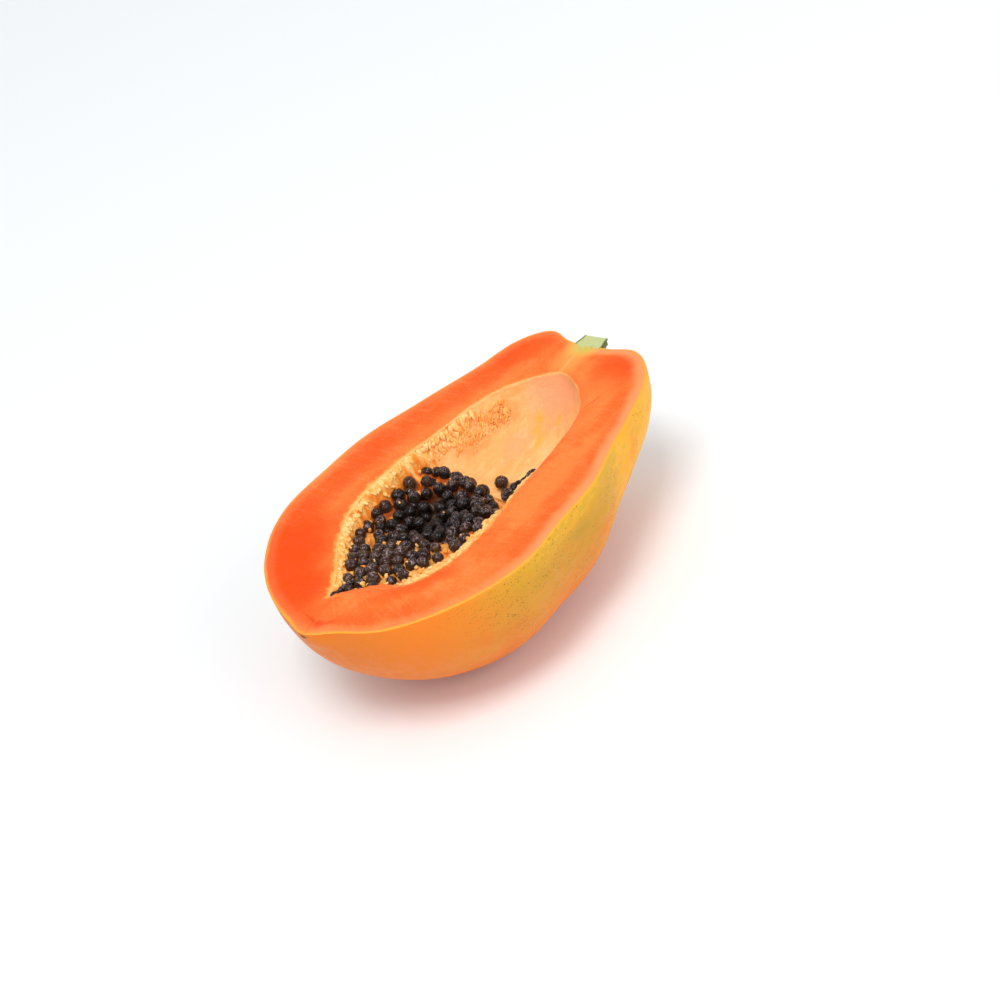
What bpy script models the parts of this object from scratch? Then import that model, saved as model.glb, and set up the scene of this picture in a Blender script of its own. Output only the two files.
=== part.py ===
"""Half of a ripe papaya, cut lengthways and lying on its skin with the cut face up.

The fruit's long axis is X: the blossom end is at -X and the stem end at +X. Y runs across the cut
and Z points up. While the shapes are worked out, the cut face is the plane z = 0; at the end every
piece is moved so that the origin is under the middle of the half, on the surface it rests on.
Sizes are in metres and angles in degrees.
"""
import math

import bmesh
import bpy
import numpy as np
from mathutils import Vector
from mathutils.bvhtree import BVHTree

# The whole fruit from the blossom tip to the shoulders round the stem.
FRUIT_LENGTH = 0.210

# The skin's distance from the fruit's middle as a share of its length. The angle is measured at
# the middle, from the blossom tip. The shoulders are the two highest values beside the stem.
SKIN = (
    # angle, far edge of the cut, near edge of the cut, underside
    (0, 0.498, 0.498, 0.498),
    (8, 0.477, 0.478, 0.477),
    (20, 0.451, 0.468, 0.452),
    (40, 0.413, 0.420, 0.408),
    (60, 0.375, 0.371, 0.368),
    (80, 0.332, 0.320, 0.334),
    (100, 0.323, 0.316, 0.3305),
    (122, 0.328, 0.326, 0.335),
    (138, 0.362, 0.373, 0.366),
    (149, 0.410, 0.428, 0.414),
    (158, 0.482, 0.470, 0.470),
    (166, 0.512, 0.489, 0.500),
    (173, 0.479, 0.472, 0.477),
    (180, 0.466, 0.466, 0.466),
)
LOBES = 5
LOBE_RELIEF = 0.0010
FLAT_SPOT_DEPTH = 0.0012

# The seed cavity's rim on the cut face. Its length is walked by an angle, 0 at the blossom end and
# 180 at the stem end, and its two sides are reaches from a line down the middle.
CAVITY_ENDS = (-0.0803, 0.0772)
CAVITY_BLOSSOM_SHIFT = 0.0056
CAVITY_DEPTH_SHARE = 0.95
CAVITY_RIM = (
    # angle, reach to the far rim, reach to the near rim
    (0, 0.0050, 0.0060),
    (15, 0.0070, 0.0150),
    (30, 0.0125, 0.0440),
    (50, 0.0266, 0.0466),
    (70, 0.0345, 0.0412),
    (90, 0.0338, 0.0352),
    (115, 0.0322, 0.0354),
    (140, 0.0349, 0.0376),
    (160, 0.0306, 0.0306),
    (180, 0.0240, 0.0240),
)
# Shallow grooves between the fibrous ribs of the lining, cut outward from the cavity.
RIB_GROOVES = 9
RIB_GROOVE_DEPTH = 0.0008

STEPS_ALONG = 50
STEPS_ROUND_SKIN = 24
STEPS_ROUND_CAVITY = 20

# The stalk's stub, halved by the same cut: it narrows to a root inside the flesh, swells where it
# leaves the hollow between the shoulders, and ends where it was snapped off.
STEM = (
    # place along the fruit, radius
    (0.0845, 0.0015),
    (0.0915, 0.0034),
    (0.0962, 0.0066),
    (0.0982, 0.0075),
    (0.1012, 0.0069),
    (0.1045, 0.0064),
)
STEM_LEAVES_FLESH = 4
STEM_SIDES = 12
STEM_RIDGES = 5
STEM_RIDGE_HEIGHT = 0.0004

# The gap kept between neighbouring pieces.
CLEARANCE = 0.0004

# The seeds lie as a heap on the blossom side of the cavity.
SEED_COUNT = 106
SEED_RADIUS = 0.0029
SEED_RADIUS_SPREAD = 0.00035
SEED_SIDES = 6
SEED_RINGS = 4
SEED_SEED = 11
SEED_WALL_GAP = 0.0007
SEED_SPACING = 1.03
SEED_TRIES = 14
RELAX_ROUNDS = 140
RELAX_SHARE = 0.28
HOLD_TRIES = 4
HEAP_START_X = -0.0765
HEAP_CREST_X = 0.0055
HEAP_SEEDS_END_X = 0.0095
HEAP_FOOT_X = 0.0180
HEAP_SLANT = 0.44
HEAP_BEND = 11.0
HEAP_RIM_DROP = 0.0036
HEAP_DIP = 0.0100
HEAP_DIP_CENTRE = (-0.014, 0.006)
HEAP_DIP_RADIUS = 0.021
HEAP_SLOPE = 1.55
# The crest and the foot run in a bend across the fruit, further towards the stem on the far side.
# The seeds end a little way down the slope, and bare pulp runs from there to the foot.
# The heap lies lower against the far wall, and its top is slightly uneven.
HEAP_FAR_DROP = 0.0036
HEAP_FAR_REACH = 0.028
HEAP_UNEVEN = 0.0009
HEAP_WAVE = 0.0105
# The pale pulp that is left bare between the heap and the cavity's rim: narrow on the far side,
# wider on the near side and widest towards the blossom end.
BARE_FAR = 0.0014
BARE_NEAR = 0.0058
BARE_WAVE = 0.0015
BARE_WAVE_LENGTH = 0.018
BARE_BLOSSOM = 0.0065
BARE_BLOSSOM_X = -0.058
BARE_BLOSSOM_REACH = 0.012
CORE_SINK = 0.0012
CORE_STEPS_ALONG = 20
CORE_STEPS_WALL = 10
CORE_STEPS_TOP = 8
CORE_WALL_GAP = 0.0008
CORE_RIM_TURN = 25

# Two seeds that rolled off the heap and lie on the lining: place along and across.
LOOSE_SEEDS = ((0.0287, 0.0069), (0.0240, 0.0005))
LOOSE_SEED_RADIUS = 0.0034

# Colour, roughness and metallic value of each piece.
FINISHES = {
    "fruit_half": ((0.83, 0.27, 0.04, 1.0), 0.45, 0.0),
    "seed_cluster": ((0.030, 0.018, 0.014, 1.0), 0.30, 0.0),
    "loose_seed": ((0.035, 0.020, 0.015, 1.0), 0.30, 0.0),
    "stem_stub": ((0.30, 0.36, 0.12, 1.0), 0.60, 0.0),
}


def column_value(table, column, place):
    """Read one column of a table at any place between its rows, along a smooth curve."""
    marks = [row[0] for row in table]
    values = [row[column] for row in table]
    cell = max(i for i in range(len(marks) - 1) if marks[i] <= place)

    def slope(i):
        if i in (0, len(marks) - 1):
            return 0.0
        return (values[i + 1] - values[i - 1]) / (marks[i + 1] - marks[i - 1])

    width = marks[cell + 1] - marks[cell]
    t = (place - marks[cell]) / width
    return ((2 * t**3 - 3 * t**2 + 1) * values[cell]
            + (t**3 - 2 * t**2 + t) * width * slope(cell)
            + (3 * t**2 - 2 * t**3) * values[cell + 1]
            + (t**3 - t**2) * width * slope(cell + 1))


def skin_point(angle, turn):
    """A point of the skin. turn is 0 at the far edge, 90 underneath and 180 at the near edge."""
    edge = column_value(SKIN, 1 if turn <= 90 else 2, angle)
    share = math.cos(math.radians(turn)) ** 2
    radius = (edge * share + column_value(SKIN, 3, angle) * (1 - share)) * FRUIT_LENGTH
    across = math.sin(math.radians(angle))
    lobe = math.cos(math.radians(LOBES * turn)) - math.cos(math.radians(turn))
    radius += LOBE_RELIEF * across * (0.3 + 0.7 * angle / 180) * lobe
    return Vector((-radius * math.cos(math.radians(angle)),
                   radius * across * math.cos(math.radians(turn)),
                   -radius * across * math.sin(math.radians(turn))))


def cavity_section(walk):
    """Place, middle line, half width and depth of the cavity where its length is walked to."""
    start, end = CAVITY_ENDS
    along = math.cos(math.radians(walk))
    x = (start + end) / 2 - (end - start) / 2 * along
    wide = math.sin(math.radians(walk))
    middle = CAVITY_BLOSSOM_SHIFT * (1 + along) / 2
    far = column_value(CAVITY_RIM, 1, walk) * wide
    near = column_value(CAVITY_RIM, 2, walk) * wide
    half_width = (far + near) / 2
    return x, middle + (far - near) / 2, half_width, half_width * CAVITY_DEPTH_SHARE


def walk_to(x):
    """The walking angle of the cavity at a place along the fruit."""
    start, end = CAVITY_ENDS
    return math.degrees(math.acos(max(-1.0, min(1.0, (start + end - 2 * x) / (end - start)))))


def rib_groove(walk, turn):
    """Depth of the grooves in the lining, which run out at the cut face and at both ends."""
    fade = math.sin(math.radians(turn)) ** 2 * math.sin(math.radians(walk)) ** 2
    return RIB_GROOVE_DEPTH * fade * (0.5 - 0.5 * math.cos(math.radians(2 * RIB_GROOVES * turn)))


def cavity_point(walk, turn):
    """A point of the lining. turn is 0 at the far rim and 180 at the near rim."""
    x, middle, half_width, depth = cavity_section(walk)
    groove = rib_groove(walk, turn)
    return Vector((x,
                   middle + (half_width + groove) * math.cos(math.radians(turn)),
                   -(depth + groove) * math.sin(math.radians(turn))))


def new_object(name, bm, finish):
    """Make an object with its own material from a mesh under construction."""
    mesh = bpy.data.meshes.new(name)
    bm.to_mesh(mesh)
    bm.free()
    piece = bpy.data.objects.new(name, mesh)
    bpy.context.scene.collection.objects.link(piece)
    colour, roughness, metallic = FINISHES[finish]
    material = bpy.data.materials.new(name)
    material.use_nodes = True
    shader = material.node_tree.nodes["Principled BSDF"]
    shader.inputs["Base Color"].default_value = colour
    shader.inputs["Roughness"].default_value = roughness
    shader.inputs["Metallic"].default_value = metallic
    mesh.materials.append(material)
    return piece


def half_shell(bm, point, steps_along, steps_round):
    """Add a half shell that narrows to one vertex at each end.

    Returns the rows of vertices from the far edge to the near edge, with the two end vertices.
    """
    first = bm.verts.new(point(0, 0))
    last = bm.verts.new(point(180, 0))
    rows = [[bm.verts.new(point(180 * i / steps_along, 180 * j / steps_round))
             for j in range(steps_round + 1)] for i in range(1, steps_along)]
    for j in range(steps_round):
        bm.faces.new((first, rows[0][j], rows[0][j + 1]))
        bm.faces.new((last, rows[-1][j + 1], rows[-1][j]))
    for row, following in zip(rows, rows[1:]):
        for j in range(steps_round):
            bm.faces.new((row[j], following[j], following[j + 1], row[j + 1]))
    return first, rows, last


def rim_loop(first, rows, last):
    """The vertices round the open edge of a half shell."""
    return [first] + [row[0] for row in rows] + [last] + [row[-1] for row in reversed(rows)]


def flatten_underside(bm):
    """Cut a small flat spot into the lowest part of the skin."""
    lowest = min(v.co.z for v in bm.verts)
    level = lowest + FLAT_SPOT_DEPTH
    geometry = bm.verts[:] + bm.edges[:] + bm.faces[:]
    bmesh.ops.bisect_plane(bm, geom=geometry, plane_co=(0, 0, level), plane_no=(0, 0, -1),
                           clear_outer=True)
    edges = [e for e in bm.edges if e.is_boundary]
    bmesh.ops.contextual_create(bm, geom=edges)
    return level


def half_disc(bm, x, radius, ridge_height):
    """A row of vertices round a half disc below the cut face, at one place along the stalk."""
    row = []
    for j in range(STEM_SIDES + 1):
        turn = math.pi * j / STEM_SIDES
        reach = radius + ridge_height * math.cos(2 * STEM_RIDGES * turn)
        row.append(bm.verts.new((x, reach * math.cos(turn), -reach * math.sin(turn))))
    return row


def half_rod(bm, stations):
    """A closed half rod through rows of half discs, flat on top."""
    rows = [half_disc(bm, *station) for station in stations]
    bm.faces.new(rows[0])
    bm.faces.new(reversed(rows[-1]))
    for row, following in zip(rows, rows[1:]):
        for j in range(STEM_SIDES):
            bm.faces.new((row[j], following[j], following[j + 1], row[j + 1]))
        bm.faces.new((row[-1], following[-1], following[0], row[0]))
    bmesh.ops.recalc_face_normals(bm, faces=bm.faces)


def stem_socket():
    """The space that the stalk fills in the flesh, a little larger all round and open above."""
    bm = bmesh.new()
    stations = [(STEM[0][0] - CLEARANCE, STEM[0][1] + CLEARANCE, 0.0)]
    stations += [(x, radius + CLEARANCE + STEM_RIDGE_HEIGHT, 0.0)
                 for x, radius in STEM[1:STEM_LEAVES_FLESH]]
    stations.append((STEM[-1][0] + FRUIT_LENGTH, stations[-1][1], 0.0))
    half_rod(bm, stations)
    for vertex in bm.verts:
        if vertex.co.z > -CLEARANCE / 10:
            vertex.co.z = CLEARANCE
    return new_object("stem_socket", bm, "stem_stub")


def apply_boolean(piece, operation, other, whole_collection=False):
    """Combine a piece with another object or with a collection, and keep the result."""
    modifier = piece.modifiers.new("combine", "BOOLEAN")
    modifier.operation = operation
    if whole_collection:
        modifier.operand_type = "COLLECTION"
        modifier.collection = other
    else:
        modifier.object = other
    graph = bpy.context.evaluated_depsgraph_get()
    result = bpy.data.meshes.new_from_object(piece.evaluated_get(graph))
    piece.modifiers.remove(modifier)
    spent = piece.data
    piece.data = result
    result.name = piece.name
    bpy.data.meshes.remove(spent)


def keep_outer_shell(piece):
    """Drop the inner shells of sealed hollows, and any scrap, so that one body is left."""
    bm = bmesh.new()
    bm.from_mesh(piece.data)
    unseen = set(bm.verts)
    shells = []
    while unseen:
        reached = {unseen.pop()}
        queue = list(reached)
        while queue:
            for edge in queue.pop().link_edges:
                for vertex in edge.verts:
                    if vertex in unseen:
                        unseen.remove(vertex)
                        reached.add(vertex)
                        queue.append(vertex)
        shells.append(reached)
    shells.sort(key=len)
    spare = [v for shell in shells[:-1] for v in shell]
    bmesh.ops.delete(bm, geom=spare, context="VERTS")
    bm.to_mesh(piece.data)
    bm.free()


def make_fruit():
    """Skin, flesh and lining: one grown body, open where the cut passes through the cavity."""
    bm = bmesh.new()
    skin = half_shell(bm, skin_point, STEPS_ALONG, STEPS_ROUND_SKIN)
    lining = half_shell(bm, cavity_point, STEPS_ALONG, STEPS_ROUND_CAVITY)
    outer = rim_loop(*skin)
    inner = rim_loop(*lining)
    for i, vertex in enumerate(outer):
        after = (i + 1) % len(outer)
        bm.faces.new((vertex, outer[after], inner[after], inner[i]))
    bmesh.ops.recalc_face_normals(bm, faces=bm.faces)
    level = flatten_underside(bm)
    fruit = new_object("fruit_half", bm, "fruit_half")

    cutter = stem_socket()
    apply_boolean(fruit, "DIFFERENCE", cutter)
    bpy.data.objects.remove(cutter)
    return fruit, level


def make_stem():
    """The halved stub of the stalk, with low ridges where it stands clear of the flesh."""
    bm = bmesh.new()
    half_rod(bm, [(x, radius, STEM_RIDGE_HEIGHT if i >= STEM_LEAVES_FLESH else 0.0)
                  for i, (x, radius) in enumerate(STEM)])
    return new_object("stem_stub", bm, "stem_stub")


def heap_lean(y):
    """How far the crest and the foot lie towards the stem at a place across the fruit."""
    return HEAP_SLANT * y - HEAP_BEND * y**2


def heap_height(x, y):
    """Height of the seeds' centres over the heap: a dip in its middle, then the slope down."""
    off_x = (x - HEAP_DIP_CENTRE[0]) / HEAP_DIP_RADIUS
    off_y = (y - HEAP_DIP_CENTRE[1]) / HEAP_DIP_RADIUS
    dip = HEAP_DIP * math.exp(-(off_x**2 + off_y**2))
    fall = HEAP_SLOPE * max(0.0, x - HEAP_CREST_X - heap_lean(y))
    lean = HEAP_FAR_DROP * min(1.0, max(0.0, y / HEAP_FAR_REACH))
    wave = HEAP_UNEVEN * math.sin(math.tau * x / HEAP_WAVE) * math.sin(math.tau * y / HEAP_WAVE)
    return wave - (HEAP_RIM_DROP + dip + fall + lean)


def heap_width(x, half_width):
    """How far the heap reaches from the cavity's middle line, to the far and the near side."""
    bare = BARE_NEAR + BARE_WAVE * math.sin(math.tau * x / BARE_WAVE_LENGTH)
    bare += BARE_BLOSSOM * math.exp(-((x - BARE_BLOSSOM_X) / BARE_BLOSSOM_REACH) ** 2)
    return max(half_width - BARE_FAR, 0.0), max(half_width - bare, 0.0)


def hold_in_cavity(place, radius, lining):
    """Keep a seed's centre on the heap, and far enough from the lining for the seed to clear it."""
    x = min(max(place[0], HEAP_START_X), HEAP_SEEDS_END_X + heap_lean(place[1]))
    _, middle, half_width, depth = cavity_section(walk_to(x))
    far, near = heap_width(x, half_width)
    y = min(max(place[1], middle - max(near - radius, 0.0)), middle + max(far - radius, 0.0))
    centre = Vector((x, y, max(heap_height(x, y), -depth)))
    inward = Vector((x, middle, centre.z / 2)) - centre
    for _ in range(HOLD_TRIES):
        nearest, _, _, distance = lining.find_nearest(centre)
        outside = (nearest - centre).dot(inward) > 0
        need = radius + SEED_WALL_GAP - (-distance if outside else distance)
        if need <= 0:
            break
        away = (nearest - centre) if outside else (centre - nearest)
        centre += away.normalized() * need
    return centre


def scatter_seed(rng, radius, settled, lining):
    """Try a few random places on the heap and take the one with most room."""
    best, best_room = None, -1.0
    for _ in range(SEED_TRIES):
        x = rng.uniform(HEAP_START_X, HEAP_SEEDS_END_X + HEAP_SLANT**2 / (4 * HEAP_BEND))
        _, middle, half_width, _ = cavity_section(walk_to(x))
        y = middle + half_width * rng.uniform(-1, 1)
        place = hold_in_cavity((x, y), radius, lining)
        room = min(((place - other).length for other in settled), default=1.0)
        if room > best_room:
            best, best_room = place, room
    return best


def settle_seeds(lining):
    """Spread the seeds over the heap, then push them apart until they just touch."""
    rng = np.random.default_rng(SEED_SEED)
    radii = SEED_RADIUS + SEED_RADIUS_SPREAD * rng.uniform(-1, 1, SEED_COUNT)
    settled = []
    for radius in radii:
        settled.append(scatter_seed(rng, radius, settled, lining))
    places = np.array(settled)
    wanted = SEED_SPACING * (radii[:, None] + radii[None, :])
    for _ in range(RELAX_ROUNDS):
        apart = places[:, None, :] - places[None, :, :]
        distance = np.sqrt((apart**2).sum(axis=2)) + 1e-9
        press = np.clip(wanted - distance, 0.0, None)
        np.fill_diagonal(press, 0.0)
        places += RELAX_SHARE * (apart / distance[:, :, None] * press[:, :, None]).sum(axis=1)
        for i in range(SEED_COUNT):
            places[i] = hold_in_cavity(places[i], radii[i], lining)
    return places, radii, rng


def seed_mesh(bm, place, radius, rng):
    """Add one seed: a ball of few sides, a little longer than it is thick and turned at random."""
    made = bmesh.ops.create_uvsphere(bm, u_segments=SEED_SIDES, v_segments=SEED_RINGS, radius=radius)
    stretch = Vector((1.0, 0.94, 0.90 + 0.06 * rng.random()))
    turn = Vector(rng.normal(size=3)).normalized().to_track_quat("Z", "Y").to_matrix()
    for vertex in made["verts"]:
        vertex.co = turn @ (vertex.co * stretch) + Vector(place)


def core_section(x, y, share):
    """The cavity's section where a row of the pulp, with a share of the foot's lean, passes y."""
    place, middle, half_width, depth = cavity_section(walk_to(x + share * heap_lean(y)))
    return place, middle, half_width - CORE_WALL_GAP, depth - CORE_WALL_GAP


def core_wall(x, turn, share):
    """A point of the pulp's underside, just inside the lining."""
    across = math.cos(math.radians(turn))
    y = 0.0
    for _ in range(3):
        place, middle, wide, deep = core_section(x, y, share)
        y = middle + wide * across
    return Vector((place, y, -deep * math.sin(math.radians(turn))))


def core_top(x, y, share):
    """A point of the pulp's top, under the heap's top and over the cavity's floor."""
    place, middle, wide, deep = core_section(x, y, share)
    across = min(1.0, abs(y - middle) / wide)
    floor = -0.96 * deep * math.sqrt(1 - across**2)
    return Vector((place, y, max(heap_height(place, y) - CORE_SINK, floor)))


def core_edge(x, turn, share):
    """How far below a side's rim the pulp's top meets the wall, as an angle."""
    side = core_wall(x, turn, share)
    deep = core_section(x, side.y, share)[3]
    level = heap_height(side.x, side.y) - CORE_SINK
    return math.degrees(math.asin(min(0.97, -level / deep)))


def heap_core():
    """The pulp that the seeds are rooted in: the cavity's own form below the heap's top."""
    bm = bmesh.new()
    rows = []
    for i in range(CORE_STEPS_ALONG + 1):
        share = i / CORE_STEPS_ALONG
        x = HEAP_START_X + 0.0015 + (HEAP_FOOT_X - HEAP_START_X) * share
        first = core_edge(x, CORE_RIM_TURN, share)
        last = 180 - core_edge(x, 180 - CORE_RIM_TURN, share)
        row = [core_wall(x, first + (last - first) * j / CORE_STEPS_WALL, share)
               for j in range(CORE_STEPS_WALL + 1)]
        far, near = row[0].y, row[-1].y
        row += [core_top(x, near + (far - near) * j / CORE_STEPS_TOP, share)
                for j in range(1, CORE_STEPS_TOP)]
        rows.append([bm.verts.new(point) for point in row])
    bm.faces.new(rows[0])
    bm.faces.new(reversed(rows[-1]))
    for row, following in zip(rows, rows[1:]):
        for j in range(len(row)):
            after = (j + 1) % len(row)
            bm.faces.new((row[j], following[j], following[after], row[after]))
    bmesh.ops.recalc_face_normals(bm, faces=bm.faces)
    bmesh.ops.triangulate(bm, faces=bm.faces)
    return bm


def make_seeds(lining):
    """The heap of seeds, fused to the pulp they are rooted in."""
    places, radii, rng = settle_seeds(lining)
    cluster = new_object("seed_cluster", heap_core(), "seed_cluster")
    loose = bpy.data.collections.new("loose")
    bpy.context.scene.collection.children.link(loose)
    for place, radius in zip(places, radii):
        bm = bmesh.new()
        seed_mesh(bm, place, radius, rng)
        mesh = bpy.data.meshes.new("seed")
        bm.to_mesh(mesh)
        bm.free()
        loose.objects.link(bpy.data.objects.new("seed", mesh))
    apply_boolean(cluster, "UNION", loose, whole_collection=True)
    for seed in list(loose.objects):
        bpy.data.objects.remove(seed)
    bpy.data.collections.remove(loose)
    keep_outer_shell(cluster)
    return cluster


def make_loose_seeds(lining):
    """Single seeds lying on the lining, each let down until it just clears it."""
    rng = np.random.default_rng(SEED_SEED + 1)
    pieces = []
    for number, (x, y) in enumerate(LOOSE_SEEDS, start=1):
        z = -0.002
        while lining.find_nearest((x, y, z))[3] > LOOSE_SEED_RADIUS + CLEARANCE:
            z -= 0.00005
        bm = bmesh.new()
        seed_mesh(bm, (x, y, z), LOOSE_SEED_RADIUS, rng)
        pieces.append(new_object(f"loose_seed_{number}", bm, "loose_seed"))
    return pieces


def move_to_origin(pieces, level):
    """Put the origin under the middle of the whole half, at the height of its flat spot."""
    bpy.context.view_layer.update()
    corners = np.array([corner for piece in pieces for corner in piece.bound_box])
    middle = (corners.min(axis=0) + corners.max(axis=0)) / 2
    for piece in pieces:
        piece.location = (-middle[0], -middle[1], -level)


def main():
    for left_over in list(bpy.data.objects):
        bpy.data.objects.remove(left_over)
    fruit, level = make_fruit()
    lining = BVHTree.FromObject(fruit, bpy.context.evaluated_depsgraph_get())
    pieces = [fruit, make_stem(), make_seeds(lining)] + make_loose_seeds(lining)
    for piece in pieces:
        piece.data.shade_smooth()
        piece.data.set_sharp_from_angle(angle=math.radians(40))
    move_to_origin(pieces, level)


main()
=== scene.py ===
"""The looks of a papaya half that lies on its skin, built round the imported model.

Lengths are in metres and angles in degrees. Shapes are worked out in the fruit's own frame, with
the cut face at z = 0, the blossom end at -X and the stem end at +X, and moved on to the model last.
"""
import logging
import math
from dataclasses import dataclass, field
from enum import Enum
from functools import cached_property

import bmesh
import bpy
import numpy as np
from mathutils import Matrix, Vector, noise
from mathutils.bvhtree import BVHTree


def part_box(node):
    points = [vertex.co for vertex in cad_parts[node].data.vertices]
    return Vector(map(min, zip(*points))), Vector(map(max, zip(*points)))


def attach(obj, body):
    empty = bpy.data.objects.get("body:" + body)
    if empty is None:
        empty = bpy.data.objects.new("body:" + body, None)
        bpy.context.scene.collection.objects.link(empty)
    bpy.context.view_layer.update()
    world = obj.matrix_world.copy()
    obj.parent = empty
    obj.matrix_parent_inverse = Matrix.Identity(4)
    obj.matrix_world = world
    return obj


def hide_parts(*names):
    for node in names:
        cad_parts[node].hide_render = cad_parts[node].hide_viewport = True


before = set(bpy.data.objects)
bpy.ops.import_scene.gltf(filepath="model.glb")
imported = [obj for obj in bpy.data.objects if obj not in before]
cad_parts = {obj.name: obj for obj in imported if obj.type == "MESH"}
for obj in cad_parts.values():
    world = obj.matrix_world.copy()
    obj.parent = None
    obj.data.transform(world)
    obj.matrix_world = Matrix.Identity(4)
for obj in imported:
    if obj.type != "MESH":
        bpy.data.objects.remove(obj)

LOG = logging.getLogger("papaya_half")
BODY = "root"
Colour = tuple[float, float, float]
Spot = tuple[float, float, float]


class Slot(Enum):
    """The record's material slots."""

    FLESH = "flesh"
    SEEDS = "seeds"
    STEM = "stem"


def paint(red: int, green: int, blue: int) -> Colour:
    """Turn a colour as the eye reads it on a screen, 0 to 255, into Blender's linear values."""
    return tuple(((c / 255 + 0.055) / 1.055) ** 2.4 if c > 10 else c / 3294.6 for c in (red, green, blue))


@dataclass(frozen=True)
class Profile:
    """A curve through a few stations, level at both ends."""

    marks: tuple[float, ...]
    values: tuple[float, ...]

    def at(self, place: np.ndarray) -> np.ndarray:
        """Read the curve.

        Args:
            place: where to read it, in the units of the marks.

        Returns:
            The values there.
        """
        marks, values = np.array(self.marks, float), np.array(self.values, float)
        slopes = np.zeros_like(values)
        slopes[1:-1] = (values[2:] - values[:-2]) / (marks[2:] - marks[:-2])
        cell = np.clip(np.searchsorted(marks, place, side="right") - 1, 0, len(marks) - 2)
        width = marks[cell + 1] - marks[cell]
        t = (place - marks[cell]) / width
        return ((2 * t**3 - 3 * t**2 + 1) * values[cell]
                + (t**3 - 2 * t**2 + t) * width * slopes[cell]
                + (3 * t**2 - 2 * t**3) * values[cell + 1]
                + (t**3 - t**2) * width * slopes[cell + 1])


SKIN_ANGLES = (0, 8, 20, 40, 60, 80, 100, 122, 138, 149, 158, 166, 173, 180)
RIM_ANGLES = (0, 15, 30, 50, 70, 90, 115, 140, 160, 180)


@dataclass(frozen=True)
class FruitForm:
    """The form of the half: the same driving sizes as the model's."""

    length: float = 0.210
    far_edge: Profile = Profile(SKIN_ANGLES, (0.498, 0.477, 0.451, 0.413, 0.375, 0.332, 0.323, 0.328,
                                              0.362, 0.410, 0.482, 0.512, 0.479, 0.466))
    near_edge: Profile = Profile(SKIN_ANGLES, (0.498, 0.478, 0.468, 0.420, 0.371, 0.320, 0.316, 0.326,
                                               0.373, 0.428, 0.470, 0.489, 0.472, 0.466))
    underside: Profile = Profile(SKIN_ANGLES, (0.498, 0.477, 0.452, 0.408, 0.368, 0.334, 0.3305, 0.335,
                                               0.366, 0.414, 0.470, 0.500, 0.477, 0.466))
    lobes: int = 5
    lobe_relief: float = 0.0010
    cavity_start: float = -0.0803
    cavity_end: float = 0.0772
    blossom_shift: float = 0.0056
    depth_share: float = 0.95
    far_rim: Profile = Profile(RIM_ANGLES, (0.0050, 0.0070, 0.0125, 0.0266, 0.0345, 0.0338, 0.0322,
                                            0.0349, 0.0306, 0.0240))
    near_rim: Profile = Profile(RIM_ANGLES, (0.0060, 0.0150, 0.0440, 0.0466, 0.0412, 0.0352, 0.0354,
                                             0.0376, 0.0306, 0.0240))

    def skin(self, angle: np.ndarray, turn: np.ndarray) -> np.ndarray:
        """Points of the skin.

        Args:
            angle: from the blossom tip, at the fruit's middle.
            turn: 0 at the far edge of the cut, 90 underneath, 180 at the near edge.

        Returns:
            An array of points.
        """
        a, t = np.radians(angle), np.radians(turn)
        edge = np.where(turn <= 90, self.far_edge.at(angle), self.near_edge.at(angle))
        share = np.cos(t) ** 2
        radius = (edge * share + self.underside.at(angle) * (1 - share)) * self.length
        lobe = np.cos(self.lobes * t) - np.cos(t)
        radius = radius + self.lobe_relief * np.sin(a) * (0.3 + 0.7 * angle / 180) * lobe
        return np.stack((-radius * np.cos(a), radius * np.sin(a) * np.cos(t),
                         -radius * np.sin(a) * np.sin(t)), axis=-1)

    def section(self, walk: np.ndarray) -> tuple[np.ndarray, np.ndarray, np.ndarray, np.ndarray]:
        """The cavity's place, middle line, half width and depth at a walking angle."""
        along, wide = np.cos(np.radians(walk)), np.sin(np.radians(walk))
        x = (self.cavity_start + self.cavity_end) / 2 - (self.cavity_end - self.cavity_start) / 2 * along
        far, near = self.far_rim.at(walk) * wide, self.near_rim.at(walk) * wide
        half = (far + near) / 2
        return x, self.blossom_shift * (1 + along) / 2 + (far - near) / 2, half, half * self.depth_share

    def walk_to(self, x: np.ndarray) -> np.ndarray:
        """The walking angle of the cavity at a place along the fruit."""
        share = (self.cavity_start + self.cavity_end - 2 * x) / (self.cavity_end - self.cavity_start)
        return np.degrees(np.arccos(np.clip(share, -1, 1)))

    def lining(self, walk: np.ndarray, turn: np.ndarray, outward: np.ndarray = 0.0) -> np.ndarray:
        """Points of the lining, or a little outside it.

        Args:
            walk: along the cavity, 0 at the blossom end and 180 at the stem end.
            turn: 0 at the far rim and 180 at the near rim.
            outward: how far into the flesh, in metres.

        Returns:
            An array of points.
        """
        x, middle, half, depth = self.section(walk)
        t = np.radians(turn)
        return np.stack((x + 0 * t, middle + (half + outward) * np.cos(t),
                         -(depth + outward) * np.sin(t)), axis=-1)


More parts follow.
